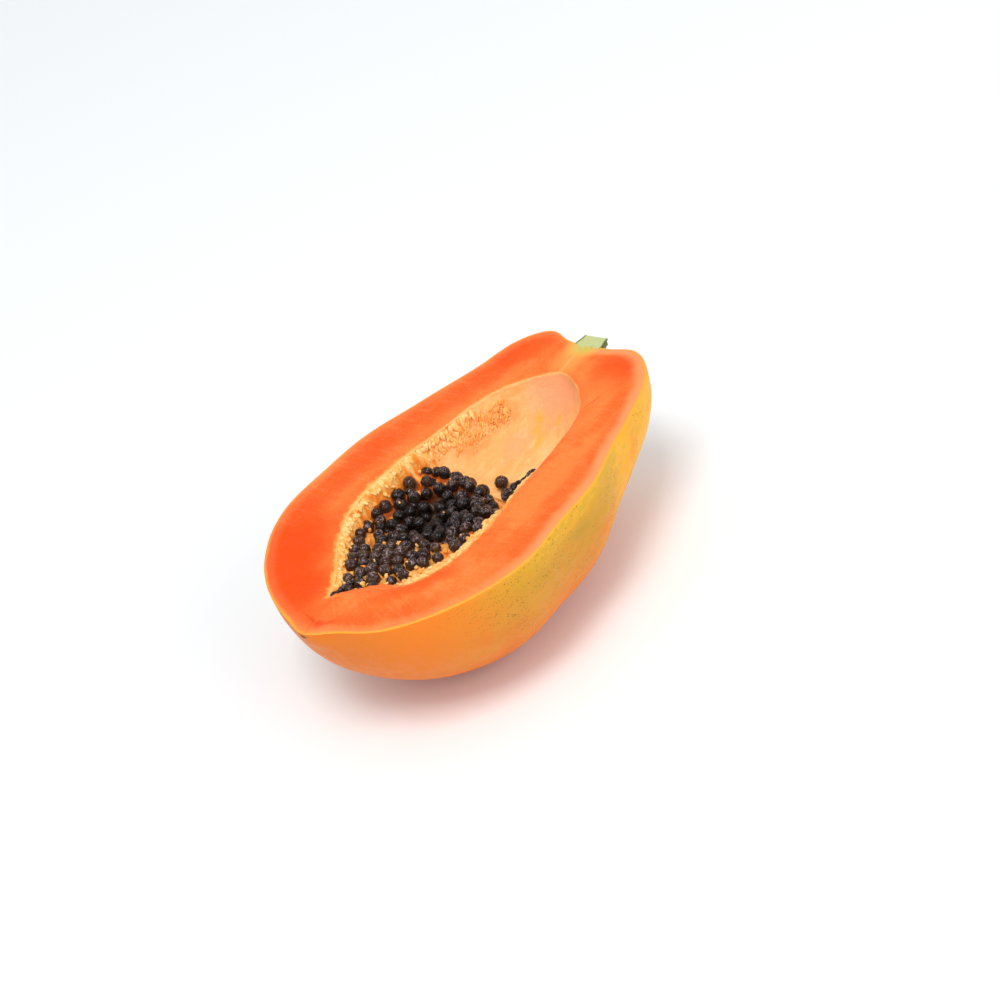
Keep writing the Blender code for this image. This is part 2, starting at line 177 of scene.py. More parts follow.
@dataclass(frozen=True)
class HeapForm:
    """The heap of seeds: where it lies in the cavity and how its top runs."""

    start_x: float = -0.0765
    crest_x: float = 0.0055
    seeds_end_x: float = 0.0095
    foot_x: float = 0.0180
    slant: float = 0.44
    bend: float = 11.0
    rim_drop: float = 0.0036
    dip: float = 0.0100
    dip_x: float = -0.014
    dip_y: float = 0.006
    dip_radius: float = 0.021
    slope: float = 1.55
    far_drop: float = 0.0036
    far_reach: float = 0.028
    uneven: float = 0.0009
    wave: float = 0.0105
    bare_far: float = 0.0014
    bare_near: float = 0.0058
    bare_wave: float = 0.0015
    bare_wave_length: float = 0.018
    bare_blossom: float = 0.0065
    bare_blossom_x: float = -0.058
    bare_blossom_reach: float = 0.012

    def lean(self, y: np.ndarray) -> np.ndarray:
        """How far the crest and the foot lie towards the stem at a place across the fruit."""
        return self.slant * y - self.bend * y**2

    def height(self, x: np.ndarray, y: np.ndarray) -> np.ndarray:
        """Height of the seeds' centres over a place of the cavity."""
        dip = self.dip_share(x, y) * self.dip
        drop = self.far_drop * np.clip(y / self.far_reach, 0.0, 1.0)
        wave = self.uneven * np.sin(math.tau * x / self.wave) * np.sin(math.tau * y / self.wave)
        fall = self.slope * np.maximum(0.0, x - self.crest_x - self.lean(y))
        return wave - (self.rim_drop + dip + fall + drop)

    def dip_share(self, x: np.ndarray, y: np.ndarray) -> np.ndarray:
        """1 in the middle of the heap's dip and 0 well outside it."""
        return np.exp(-((x - self.dip_x) ** 2 + (y - self.dip_y) ** 2) / self.dip_radius**2)

    def bare_strip(self, x: np.ndarray) -> np.ndarray:
        """Width of the pulp left bare along the near rim."""
        bulge = np.exp(-((x - self.bare_blossom_x) / self.bare_blossom_reach) ** 2)
        wave = self.bare_wave * np.sin(math.tau * x / self.bare_wave_length)
        return self.bare_near + wave + self.bare_blossom * bulge


FORM = FruitForm()
HEAP = HeapForm()
SAMPLE_ANGLES, SAMPLE_TURNS = np.meshgrid(np.linspace(0, 180, 51), np.linspace(0, 180, 25), indexing="ij")
SKIN_LOW = FORM.skin(SAMPLE_ANGLES, SAMPLE_TURNS).reshape(-1, 3).min(axis=0)
BOX_LOW, BOX_HIGH = (np.array(corner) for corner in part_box("fruit_half"))
# From the fruit's own frame to the model's: the low corner in x and y, and the cut face in z.
SHIFT = np.array((BOX_LOW[0] - SKIN_LOW[0], BOX_LOW[1] - SKIN_LOW[1], BOX_HIGH[2]))


def in_model(point: Spot) -> Vector:
    """A point of the fruit's own frame, in the model's frame."""
    return Vector(np.array(point) + SHIFT)


def ripple(points: np.ndarray, size: float, octaves: int = 3, seed: float = 0.0) -> np.ndarray:
    """Smooth random relief, about -1 to 1, at an array of points.

    Args:
        points: places, one a row.
        size: the length of one wave.
        octaves: how many finer waves are added.
        seed: moves the pattern, so that two reliefs differ.

    Returns:
        One value a row.
    """
    away = Vector((seed, seed * 1.7, seed * 2.3))
    return np.array([noise.fractal(Vector(p) / size + away, 0.8, 2.1, octaves) for p in points])


def smooth_step(low: float, high: float, value: np.ndarray) -> np.ndarray:
    """0 below low, 1 above high, and smooth between them."""
    t = np.clip((value - low) / (high - low), 0, 1)
    return t * t * (3 - 2 * t)


@dataclass(frozen=True)
class Mark:
    """A soft oval patch in the fruit's own frame, turned about Z, and how much it covers."""

    centre: Spot
    reach: Spot
    strength: float = 1.0
    turn: float = 0.0
    ragged: float = 0.0


class Pen:
    """Writes nodes and links into one tree, so that a recipe reads as a few lines."""

    def __init__(self, tree: bpy.types.NodeTree) -> None:
        """Start on a tree."""
        self.tree = tree

    def node(self, kind: str, inputs: dict | None = None, **settings: object) -> bpy.types.Node:
        """Add a node.

        Args:
            kind: the node's type name.
            inputs: values or sockets, by the input's name or number.
            settings: the node's own settings.

        Returns:
            The node.
        """
        made = self.tree.nodes.new(kind)
        for name, value in settings.items():
            setattr(made, name, value)
        for key, value in (inputs or {}).items():
            self.feed(made.inputs[key], value)
        return made

    def feed(self, socket: bpy.types.NodeSocket, value: object) -> None:
        """Link a socket into another, or set its value."""
        if isinstance(value, bpy.types.NodeSocket):
            self.tree.links.new(value, socket)
        elif socket.type == "RGBA" and len(value) == 3:
            socket.default_value = (*value, 1.0)
        else:
            socket.default_value = value

    def maths(self, operation: str, a: object, b: object = 0.0, clamp: bool = False) -> bpy.types.NodeSocket:
        """One sum on numbers."""
        return self.node("ShaderNodeMath", {0: a, 1: b}, operation=operation, use_clamp=clamp).outputs[0]

    def ramp(self, value: object, low: float, high: float, out: tuple[float, float] = (0.0, 1.0)
             ) -> bpy.types.NodeSocket:
        """A smooth step from one number to another."""
        made = self.node("ShaderNodeMapRange", {0: value, 1: low, 2: high, 3: out[0], 4: out[1]},
                         interpolation_type="SMOOTHSTEP")
        return made.outputs[0]

    def mix(self, share: object, a: object, b: object) -> bpy.types.NodeSocket:
        """Blend two colours by a share."""
        return self.node("ShaderNodeMix", {0: share, 6: a, 7: b}, data_type="RGBA").outputs[2]

    def over(self, base: object, colour: object, *masks: object) -> bpy.types.NodeSocket:
        """Lay a colour over another where all the masks show it."""
        return self.mix(self.masked(*masks), base, colour)

    def effect(self, tree: bpy.types.NodeTree, place: object, values: dict[str, float]) -> bpy.types.Node:
        """Add one of the shared effects, which reads a place."""
        return self.node("ShaderNodeGroup", {"Vector": place, **values}, node_tree=tree)

    def coords(self, scale: Spot = (1, 1, 1), turn: float = 0.0) -> bpy.types.NodeSocket:
        """Object coordinates, stretched and turned about Z."""
        base = self.node("ShaderNodeTexCoord").outputs["Object"]
        return self.node("ShaderNodeMapping", {0: base, 2: (0, 0, math.radians(turn)), 3: scale}).outputs[0]

    def attribute(self, name: str) -> bpy.types.NodeSocket:
        """One of the piece's own numbers."""
        return self.node("ShaderNodeAttribute", attribute_name=name).outputs["Fac"]

    def noise(self, vector: object, size: float, detail: float = 3.0, rough: float = 0.55,
              bend: float = 0.0) -> bpy.types.NodeSocket:
        """Noise with waves of a size in metres."""
        inputs = {"Vector": vector, "Scale": 1 / size, "Detail": detail, "Roughness": rough,
                  "Distortion": bend}
        return self.node("ShaderNodeTexNoise", inputs).outputs[0]

    def waves(self, place: object, scale: object, detail: float, rough: float = 0.5) -> bpy.types.Node:
        """Noise with a number of waves a metre."""
        return self.node("ShaderNodeTexNoise", {"Vector": place, "Scale": scale, "Detail": detail,
                                                "Roughness": rough})

    def sway(self, value: object, wave: object, amount: object) -> bpy.types.NodeSocket:
        """Move a number up and down with noise, by up to half an amount each way."""
        return self.maths("ADD", value, self.maths("MULTIPLY", self.maths("SUBTRACT", wave, 0.5), amount))

    def patch(self, mark: Mark) -> bpy.types.NodeSocket:
        """A soft oval mask: the mark's strength at its centre and 0 outside."""
        base = self.node("ShaderNodeTexCoord").outputs["Object"]
        off = self.node("ShaderNodeVectorMath", {0: base, 1: tuple(in_model(mark.centre))},
                        operation="SUBTRACT").outputs[0]
        turned = self.node("ShaderNodeVectorRotate", {"Vector": off, "Angle": math.radians(-mark.turn)},
                           rotation_type="Z_AXIS").outputs[0]
        scaled = self.node("ShaderNodeVectorMath", {0: turned, 1: tuple(1 / r for r in mark.reach)},
                           operation="MULTIPLY").outputs[0]
        length = self.node("ShaderNodeVectorMath", {0: scaled}, operation="LENGTH").outputs["Value"]
        if mark.ragged:
            length = self.sway(length, self.noise(base, min(mark.reach) * 1.5, 3.0), mark.ragged)
        return self.masked(self.ramp(length, 1.0, 0.25), mark.strength)

    def patches(self, base: object, colour: object, *marks: Mark) -> bpy.types.NodeSocket:
        """Lay a colour in soft patches over another."""
        for mark in marks:
            base = self.over(base, colour, self.patch(mark))
        return base

    def masked(self, *masks: object) -> bpy.types.NodeSocket:
        """Several masks and numbers, multiplied."""
        result = masks[0]
        for mask in masks[1:]:
            result = self.maths("MULTIPLY", result, mask)
        return result


@dataclass
class EffectLibrary:
    """The node groups that several materials share, each built when it is first used."""

    fleck_bend: float = 0.0012
    fleck_sharpness: float = 9.0
    grain_share: float = 0.35

    def _group(self, name: str, inputs: dict[str, float], outputs: tuple[str, ...]
               ) -> tuple[bpy.types.NodeTree, Pen, bpy.types.Node, bpy.types.Node]:
        """Make an empty group with its sockets.

        Args:
            name: the group's name.
            inputs: its numbers and their defaults, which follow the place that it reads.
            outputs: the names of the numbers that it gives.

        Returns:
            The group, a pen on it, and its input and output node.
        """
        tree = bpy.data.node_groups.new(name, "ShaderNodeTree")
        tree.interface.new_socket("Vector", in_out="INPUT", socket_type="NodeSocketVector")
        for label, value in inputs.items():
            socket = tree.interface.new_socket(label, in_out="INPUT", socket_type="NodeSocketFloat")
            socket.default_value = value
        for label in outputs:
            tree.interface.new_socket(label, in_out="OUTPUT", socket_type="NodeSocketFloat")
        pen = Pen(tree)
        return tree, pen, pen.node("NodeGroupInput"), pen.node("NodeGroupOutput")

    @cached_property
    def flecks(self) -> bpy.types.NodeTree:
        """Small scattered marks: some cells of a cell pattern hold one, and noise thins them out."""
        tree, pen, given, result = self._group(
            "Flecks", {"Cells": 300.0, "Size": 0.25, "Share": 0.5, "Patches": 40.0}, ("Mask",))
        place, cells = given.outputs["Vector"], given.outputs["Cells"]
        bend = pen.node("ShaderNodeVectorMath", {0: pen.waves(place, cells, 2.0).outputs[1],
                                                 1: (self.fleck_bend,) * 3}, operation="MULTIPLY")
        moved = pen.node("ShaderNodeVectorMath", {0: place, 1: bend.outputs[0]}, operation="ADD")
        cell = pen.node("ShaderNodeTexVoronoi", {"Vector": moved.outputs[0], "Scale": cells,
                                                 "Randomness": 1.0})
        near = pen.maths("SUBTRACT", given.outputs["Size"], cell.outputs["Distance"])
        mark = pen.maths("MULTIPLY", near, self.fleck_sharpness, clamp=True)
        draw = pen.node("ShaderNodeSeparateColor", {0: cell.outputs["Color"]}).outputs[0]
        kept = pen.maths("LESS_THAN", draw, given.outputs["Share"])
        dense = pen.ramp(pen.waves(place, given.outputs["Patches"], 2.0).outputs[0], 0.42, 0.62)
        pen.feed(result.inputs["Mask"], pen.masked(mark, kept, dense))
        return tree

    @cached_property
    def moist_relief(self) -> bpy.types.NodeTree:
        """The fine relief and uneven gloss of wet plant tissue."""
        tree, pen, given, result = self._group(
            "MoistRelief", {"Grain": 900.0, "Swell": 160.0, "Dry": 0.45, "Wet": 0.25},
            ("Height", "Roughness"))
        grain = pen.waves(given.outputs["Vector"], given.outputs["Grain"], 4.0).outputs[0]
        swell = pen.waves(given.outputs["Vector"], given.outputs["Swell"], 3.0).outputs[0]
        height = pen.maths("ADD", pen.maths("MULTIPLY", grain, self.grain_share), swell)
        pen.feed(result.inputs["Height"], height)
        span = pen.maths("SUBTRACT", given.outputs["Dry"], given.outputs["Wet"])
        dry_share = pen.ramp(swell, 0.35, 0.65)
        rough = pen.maths("ADD", given.outputs["Wet"], pen.maths("MULTIPLY", span, dry_share))
        pen.feed(result.inputs["Roughness"], rough)
        return tree

    @cached_property
    def mottle(self) -> bpy.types.NodeTree:
        """Two sizes of cloudy patches, for colours that drift over a surface."""
        tree, pen, given, result = self._group(
            "Mottle", {"Broad": 25.0, "Fine": 120.0, "Fine Share": 0.35}, ("Mask",))
        broad = pen.waves(given.outputs["Vector"], given.outputs["Broad"], 2.0).outputs[0]
        fine = pen.waves(given.outputs["Vector"], given.outputs["Fine"], 5.0, 0.6).outputs[0]
        cloud = pen.sway(broad, fine, given.outputs["Fine Share"])
        pen.feed(result.inputs["Mask"], pen.ramp(cloud, 0.35, 0.65))
        return tree


EFFECTS = EffectLibrary()


@dataclass(frozen=True)
class Gloss:
    """How a surface answers light, set as plain numbers on the shader."""

    specular: float = 0.5
    coat: float = 0.0
    coat_roughness: float = 0.1
    glow: float = 0.0
    glow_radius: Colour = (1.0, 0.35, 0.12)
    glow_depth: float = 0.004
    tint: Colour = (1.0, 1.0, 1.0)


def new_material(name: str, gloss: Gloss) -> tuple[bpy.types.Material, Pen, bpy.types.Node]:
    """A material with one Principled shader.

    Args:
        name: the material's name.
        gloss: its fixed numbers.

    Returns:
        The material, a pen on its tree and its shader.
    """
    material = bpy.data.materials.new(name)
    material.use_nodes = True
    shader = material.node_tree.nodes["Principled BSDF"]
    shader.inputs["Specular IOR Level"].default_value = gloss.specular
    shader.inputs["Specular Tint"].default_value = (*gloss.tint, 1.0)
    shader.inputs["Coat Weight"].default_value = gloss.coat
    shader.inputs["Coat Roughness"].default_value = gloss.coat_roughness
    shader.inputs["Subsurface Weight"].default_value = gloss.glow
    shader.inputs["Subsurface Radius"].default_value = gloss.glow_radius
    shader.inputs["Subsurface Scale"].default_value = gloss.glow_depth
    return material, Pen(material.node_tree), shader


def add_relief(pen: Pen, shader: bpy.types.Node, height: object, depth: float) -> None:
    """Drive a shader's normal from a height, with bumps of a depth in metres."""
    bump = pen.node("ShaderNodeBump", {"Height": height, "Distance": depth, "Strength": 1.0})
    pen.feed(shader.inputs["Normal"], bump.outputs[0])


@dataclass(frozen=True)
class Moisture:
    """How wet a finish looks: waves a metre of its grain and swells, its gloss and its relief."""

    grain: float
    swell: float
    dry: float
    wet: float
    depth: float

    def lay(self, pen: Pen, shader: bpy.types.Node, place: object, *streaks: object) -> None:
        """Drive a shader's roughness and relief.

        Args:
            pen: the material's pen.
            shader: its shader.
            place: the coordinates that the grain follows.
            streaks: more heights, each added at half strength.
        """
        moist = pen.effect(EFFECTS.moist_relief, place, {"Grain": self.grain, "Swell": self.swell,
                                                         "Dry": self.dry, "Wet": self.wet})
        pen.feed(shader.inputs["Roughness"], moist.outputs["Roughness"])
        relief = moist.outputs["Height"]
        for streak in streaks:
            relief = pen.maths("ADD", relief, pen.maths("MULTIPLY", streak, 0.5))
        add_relief(pen, shader, relief, self.depth)


@dataclass(frozen=True)
class FleckLayer:
    """One size of small mark: cells a metre, size and share of cells, patches a metre, strength."""

    cells: float
    size: float
    share: float
    patches: float
    strength: float

    def mask(self, pen: Pen, place: object) -> bpy.types.NodeSocket:
        """Where the marks lie."""
        values = {"Cells": self.cells, "Size": self.size, "Share": self.share, "Patches": self.patches}
        return pen.effect(EFFECTS.flecks, place, values).outputs["Mask"]


@dataclass(frozen=True)
class WaxySkin:
    """Ripe skin: golden and orange, olive mottling near the cut, fine dark dashes along the fruit."""

    ochre: Colour = paint(208, 144, 48)
    golden: Colour = paint(255, 178, 40)
    orange: Colour = paint(230, 124, 38)
    deep_orange: Colour = paint(226, 100, 24)
    olive: Colour = paint(176, 146, 34)
    yellow: Colour = paint(236, 178, 50)
    grey_green: Colour = paint(140, 134, 62)
    dash: Colour = paint(92, 58, 12)
    scar: Colour = paint(38, 26, 14)
    gloss: Gloss = Gloss(0.16, 0.0, 0.25, 0.06, (1.0, 0.4, 0.1), 0.003, (1.0, 0.75, 0.5))
    moisture: Moisture = Moisture(1600.0, 220.0, 0.55, 0.42, 0.00035)
    green_patch: Mark = Mark((-0.004, -0.066, -0.012), (0.010, 0.018, 0.007), 0.22, ragged=0.9)
    orange_patch: Mark = Mark((0.020, -0.058, -0.026), (0.014, 0.020, 0.008), 0.45, ragged=0.9)
    blossom_scar: Mark = Mark((-0.1035, 0.0010, -0.0018), (0.0018, 0.0026, 0.0012), ragged=0.5)
    dashes: tuple[FleckLayer, ...] = (FleckLayer(230.0, 0.13, 0.25, 22.0, 0.50),
                                      FleckLayer(640.0, 0.22, 0.50, 60.0, 0.75),
                                      FleckLayer(1150.0, 0.32, 0.62, 90.0, 0.80))

    def material(self) -> bpy.types.Material:
        """Build the material."""
        made, pen, shader = new_material("waxy_skin", self.gloss)
        place = pen.coords()
        split = pen.node("ShaderNodeSeparateXYZ", {0: place})
        along, up = split.outputs["X"], split.outputs["Z"]
        height = pen.sway(up, pen.noise(place, 0.055, 2.0), 0.030)
        base = pen.mix(pen.ramp(along, 0.000, 0.060), self.ochre, self.golden)
        low = pen.maths("MAXIMUM", pen.ramp(height, 0.052, 0.014), pen.ramp(along, -0.036, -0.086))
        base = pen.over(base, self.orange, low)
        warm = pen.ramp(pen.noise(place, 0.030, 3.0, 0.5, 0.4), 0.52, 0.72)
        base = pen.over(base, self.deep_orange, warm, 0.35)
        base = pen.over(base, self.deep_orange, pen.ramp(up, 0.024, 0.0), 0.65)
        base = self._mottled(pen, base, along, up, height)
        base = pen.patches(base, self.grey_green, self.green_patch)
        base = pen.patches(base, self.orange, self.orange_patch)
        base = pen.over(base, self.grey_green, pen.ramp(along, 0.090, 0.104), 0.5)
        base = self._dashed(pen, base, along, height)
        base = pen.patches(base, self.scar, self.blossom_scar)
        pen.feed(shader.inputs["Base Color"], base)
        self.moisture.lay(pen, shader, place)
        return made

    def _mottled(self, pen: Pen, base: object, along: object, up: object, height: object
                 ) -> bpy.types.NodeSocket:
        """Yellow beside the cut, and olive mottling that fades downwards and at both ends."""
        beside = pen.masked(pen.ramp(up, 0.054, 0.067), pen.ramp(along, -0.070, -0.020),
                            pen.ramp(along, 0.070, 0.020, (0.35, 1.0)))
        base = pen.over(base, self.yellow, beside, 0.70)
        high = pen.masked(pen.ramp(height, 0.030, 0.062), pen.ramp(along, -0.080, -0.030),
                          pen.ramp(along, 0.085, 0.050, (0.35, 1.0)))
        mottle = pen.effect(EFFECTS.mottle, pen.coords((0.55, 1.0, 1.0)),
                            {"Broad": 52.0, "Fine": 420.0, "Fine Share": 1.1})
        return pen.over(base, self.olive, mottle.outputs["Mask"], high, 0.36)

    def _dashed(self, pen: Pen, base: object, along: object, height: object) -> bpy.types.NodeSocket:
        """Three sizes of dark dashes, fewer low down and at the blossom end."""
        region = pen.masked(pen.ramp(height, 0.012, 0.036, (0.25, 1.0)),
                            pen.ramp(along, -0.084, -0.040, (0.12, 1.0)))
        for layer in self.dashes:
            mask = layer.mask(pen, pen.coords((0.60, 1.0, 1.0), 4.0))
            base = pen.over(base, self.dash, mask, region, layer.strength)
        return base


@dataclass(frozen=True)
class CutFlesh:
    """The knife's face: a thin yellow skin line, peach under it, then salmon to red orange."""

    skin_line: Colour = paint(248, 172, 52)
    under_skin: Colour = paint(255, 156, 74)
    peach: Colour = paint(255, 154, 98)
    light: Colour = paint(254, 130, 58)
    middle: Colour = paint(252, 110, 40)
    red: Colour = paint(248, 90, 24)
    deep: Colour = paint(236, 74, 4)
    crease: Colour = paint(222, 52, 4)
    golden: Colour = paint(255, 178, 90)
    cream: Colour = paint(255, 200, 124)
    vein: Colour = paint(206, 190, 88)
    gloss: Gloss = Gloss(0.12, 0.03, 0.22, 0.12, (1.0, 0.32, 0.08), 0.003, (1.0, 0.65, 0.4))
    moisture: Moisture = Moisture(700.0, 140.0, 0.50, 0.34, 0.00040)
    deep_patches: tuple[Mark, ...] = (
        Mark((-0.064, 0.044, 0.0), (0.062, 0.030, 0.02), 0.95, 42.0, 0.9),
        Mark((-0.078, 0.018, 0.0), (0.016, 0.014, 0.02), 0.75, 60.0, 0.9),
        Mark((-0.062, -0.030, 0.0), (0.028, 0.007, 0.02), 0.45, -40.0, 0.9),
        Mark((0.086, -0.024, 0.0), (0.022, 0.016, 0.02), 0.65, 15.0, 0.9),
        Mark((0.086, 0.029, 0.0), (0.024, 0.012, 0.02), 0.70, -25.0, 0.9),
        Mark((0.000, 0.055, 0.0), (0.040, 0.008, 0.02), 0.30, -4.0, 0.9))
    light_patches: tuple[Mark, ...] = (
        Mark((0.068, -0.026, 0.0), (0.020, 0.011, 0.02), 0.50, 10.0, 1.0),
        Mark((0.058, 0.026, 0.0), (0.026, 0.005, 0.02), 0.50, -22.0, 1.0),
        Mark((0.020, -0.046, 0.0), (0.040, 0.005, 0.02), 0.50, 2.0, 1.0))
    creases: tuple[Mark, ...] = (
        Mark((-0.0975, -0.0020, 0.0), (0.0042, 0.0036, 0.02), 0.60, 0.0, 0.6),
        Mark((-0.0950, 0.0036, 0.0), (0.0074, 0.0010, 0.01), 0.55, 68.0, 0.6),
        Mark((-0.0948, -0.0058, 0.0), (0.0056, 0.0010, 0.01), 0.65, -50.0, 0.6),
        Mark((0.0620, -0.0284, 0.0), (0.0090, 0.0007, 0.01), 0.55, -14.0, 0.6))
    stem_halo: Mark = Mark((0.0900, 0.0020, 0.0), (0.0190, 0.0125, 0.02), 0.55, 0.0, 0.5)
    stem_line: Mark = Mark((0.0840, 0.0016, 0.0), (0.0105, 0.0013, 0.01), 0.30, 4.0, 0.4)
    stem_wedge: Mark = Mark((0.0980, 0.0010, 0.0), (0.0115, 0.0110, 0.02), 0.9, 0.0, 0.35)

    def material(self) -> bpy.types.Material:
        """Build the material."""
        made, pen, shader = new_material("cut_flesh", self.gloss)
        place = pen.coords()
        along = pen.node("ShaderNodeSeparateXYZ", {0: place}).outputs["X"]
        blotch = pen.noise(place, 0.010, 3.0)
        skin_way, rim_way, near = (pen.attribute(name) for name in ("from_skin", "from_rim", "near_side"))
        cloud = pen.noise(pen.coords((0.55, 1.0, 1.0), 20.0), 0.020, 4.0, 0.55, 0.8)
        base = pen.mix(pen.ramp(cloud, 0.40, 0.60), self.light, self.middle)
        base = self._red_bands(pen, base, skin_way, rim_way, near)
        fibre = self._fibre(pen)
        for wave, span in ((fibre, 0.22), (pen.noise(place, 0.0011, 3.0, 0.6), 0.20)):
            base = pen.over(base, self.peach, pen.ramp(wave, 0.5, 0.5 + span), 0.22)
            base = pen.over(base, self.red, pen.ramp(wave, 0.5, 0.5 - span), 0.22)
        base = pen.patches(base, self.deep, *self.deep_patches)
        base = pen.patches(base, self.light, *self.light_patches)
        base = pen.patches(base, self.crease, *self.creases)
        base = self._skin_edge(pen, base, along, near, skin_way, blotch)
        base = self._rim(pen, base, along, near, rim_way, blotch)
        base = pen.patches(base, self.golden, self.stem_halo)
        base = pen.patches(base, self.cream, self.stem_line)
        base = pen.patches(base, self.vein, self.stem_wedge)
        pen.feed(shader.inputs["Base Color"], base)
        knife = pen.noise(pen.coords((0.05, 1.0, 1.0), 32.0), 0.0016, 2.0)
        self.moisture.lay(pen, shader, place, knife, fibre)
        return made

    def _red_bands(self, pen: Pen, base: object, skin_way: object, rim_way: object, near: object
                   ) -> bpy.types.NodeSocket:
        """Redder flesh: a broad band on the far side, and on the near side one in and one by the rim."""
        whole = pen.maths("ADD", skin_way, pen.maths("ADD", rim_way, 1e-5))
        drift = pen.noise(pen.coords((0.5, 1.0, 1.0), 15.0), 0.016, 3.0)
        share = pen.sway(pen.maths("DIVIDE", skin_way, whole), drift, 0.30)
        far_red = pen.masked(pen.ramp(share, 0.04, 0.20), pen.ramp(share, 0.92, 0.50),
                             pen.maths("SUBTRACT", 1.0, near))
        inner = pen.masked(pen.ramp(share, 0.10, 0.26), pen.ramp(share, 0.60, 0.34))
        near_red = pen.maths("MAXIMUM", inner, pen.masked(pen.ramp(share, 0.84, 1.0), 0.7))
        band = pen.maths("ADD", far_red, pen.masked(near_red, near, 0.70))
        cloud = pen.noise(pen.coords((0.5, 1.0, 1.0), 25.0), 0.026, 3.0)
        return pen.over(base, self.red, band, pen.ramp(cloud, 0.38, 0.58, (0.30, 1.0)), 0.85)

    def _fibre(self, pen: Pen) -> bpy.types.NodeSocket:
        """Streaks from the skin to the cavity, drawn on the unrolled cut face."""
        unrolled = pen.node("ShaderNodeUVMap", uv_map="cut_map").outputs[0]
        combed = pen.node("ShaderNodeMapping", {0: unrolled, 3: (420.0, 70.0, 1.0)}).outputs[0]
        return pen.waves(combed, 1.0, 3.0).outputs[0]

    def _skin_edge(self, pen: Pen, base: object, along: object, near: object, skin_way: object,
                   blotch: object) -> bpy.types.NodeSocket:
        """Peach flesh under the skin, laid much more strongly on the near side as a painted sheen, and the
        thin line of the skin itself.
        """
        depth = pen.sway(skin_way, blotch, 0.004)
        # Painted sheen: on the near side the peach under the skin is laid much more strongly, most of all
        # from the middle to the stem end.
        pale = pen.masked(near, pen.ramp(along, -0.070, -0.015, (0.15, 0.68)))
        base = pen.over(base, self.peach, pen.ramp(depth, 0.0078, 0.0026), pen.maths("ADD", 0.20, pale))
        edge = pen.sway(skin_way, blotch, 0.0014)
        base = pen.over(base, self.under_skin, pen.ramp(edge, 0.0024, 0.0008), 0.6)
        return pen.over(base, self.skin_line, pen.ramp(edge, 0.0016, 0.0002), 0.75)

    def _rim(self, pen: Pen, base: object, along: object, near: object, rim_way: object, blotch: object
             ) -> bpy.types.NodeSocket:
        """Golden, ragged tissue beside the heap and a thin cream line along the rest of the rim."""
        reach = pen.sway(rim_way, pen.noise(pen.coords(), 0.0030, 4.0, 0.6), 0.0070)
        clear = pen.maths("SUBTRACT", 1.0, pen.masked(near, pen.ramp(along, -0.060, -0.068)))
        base = pen.over(base, self.golden, pen.ramp(reach, 0.0026, 0.0002),
                        pen.ramp(along, 0.020, -0.002), clear, 0.85)
        line = pen.ramp(pen.sway(rim_way, blotch, 0.0016), 0.0011, 0.0002)
        return pen.over(base, self.cream, line, clear, 0.6)


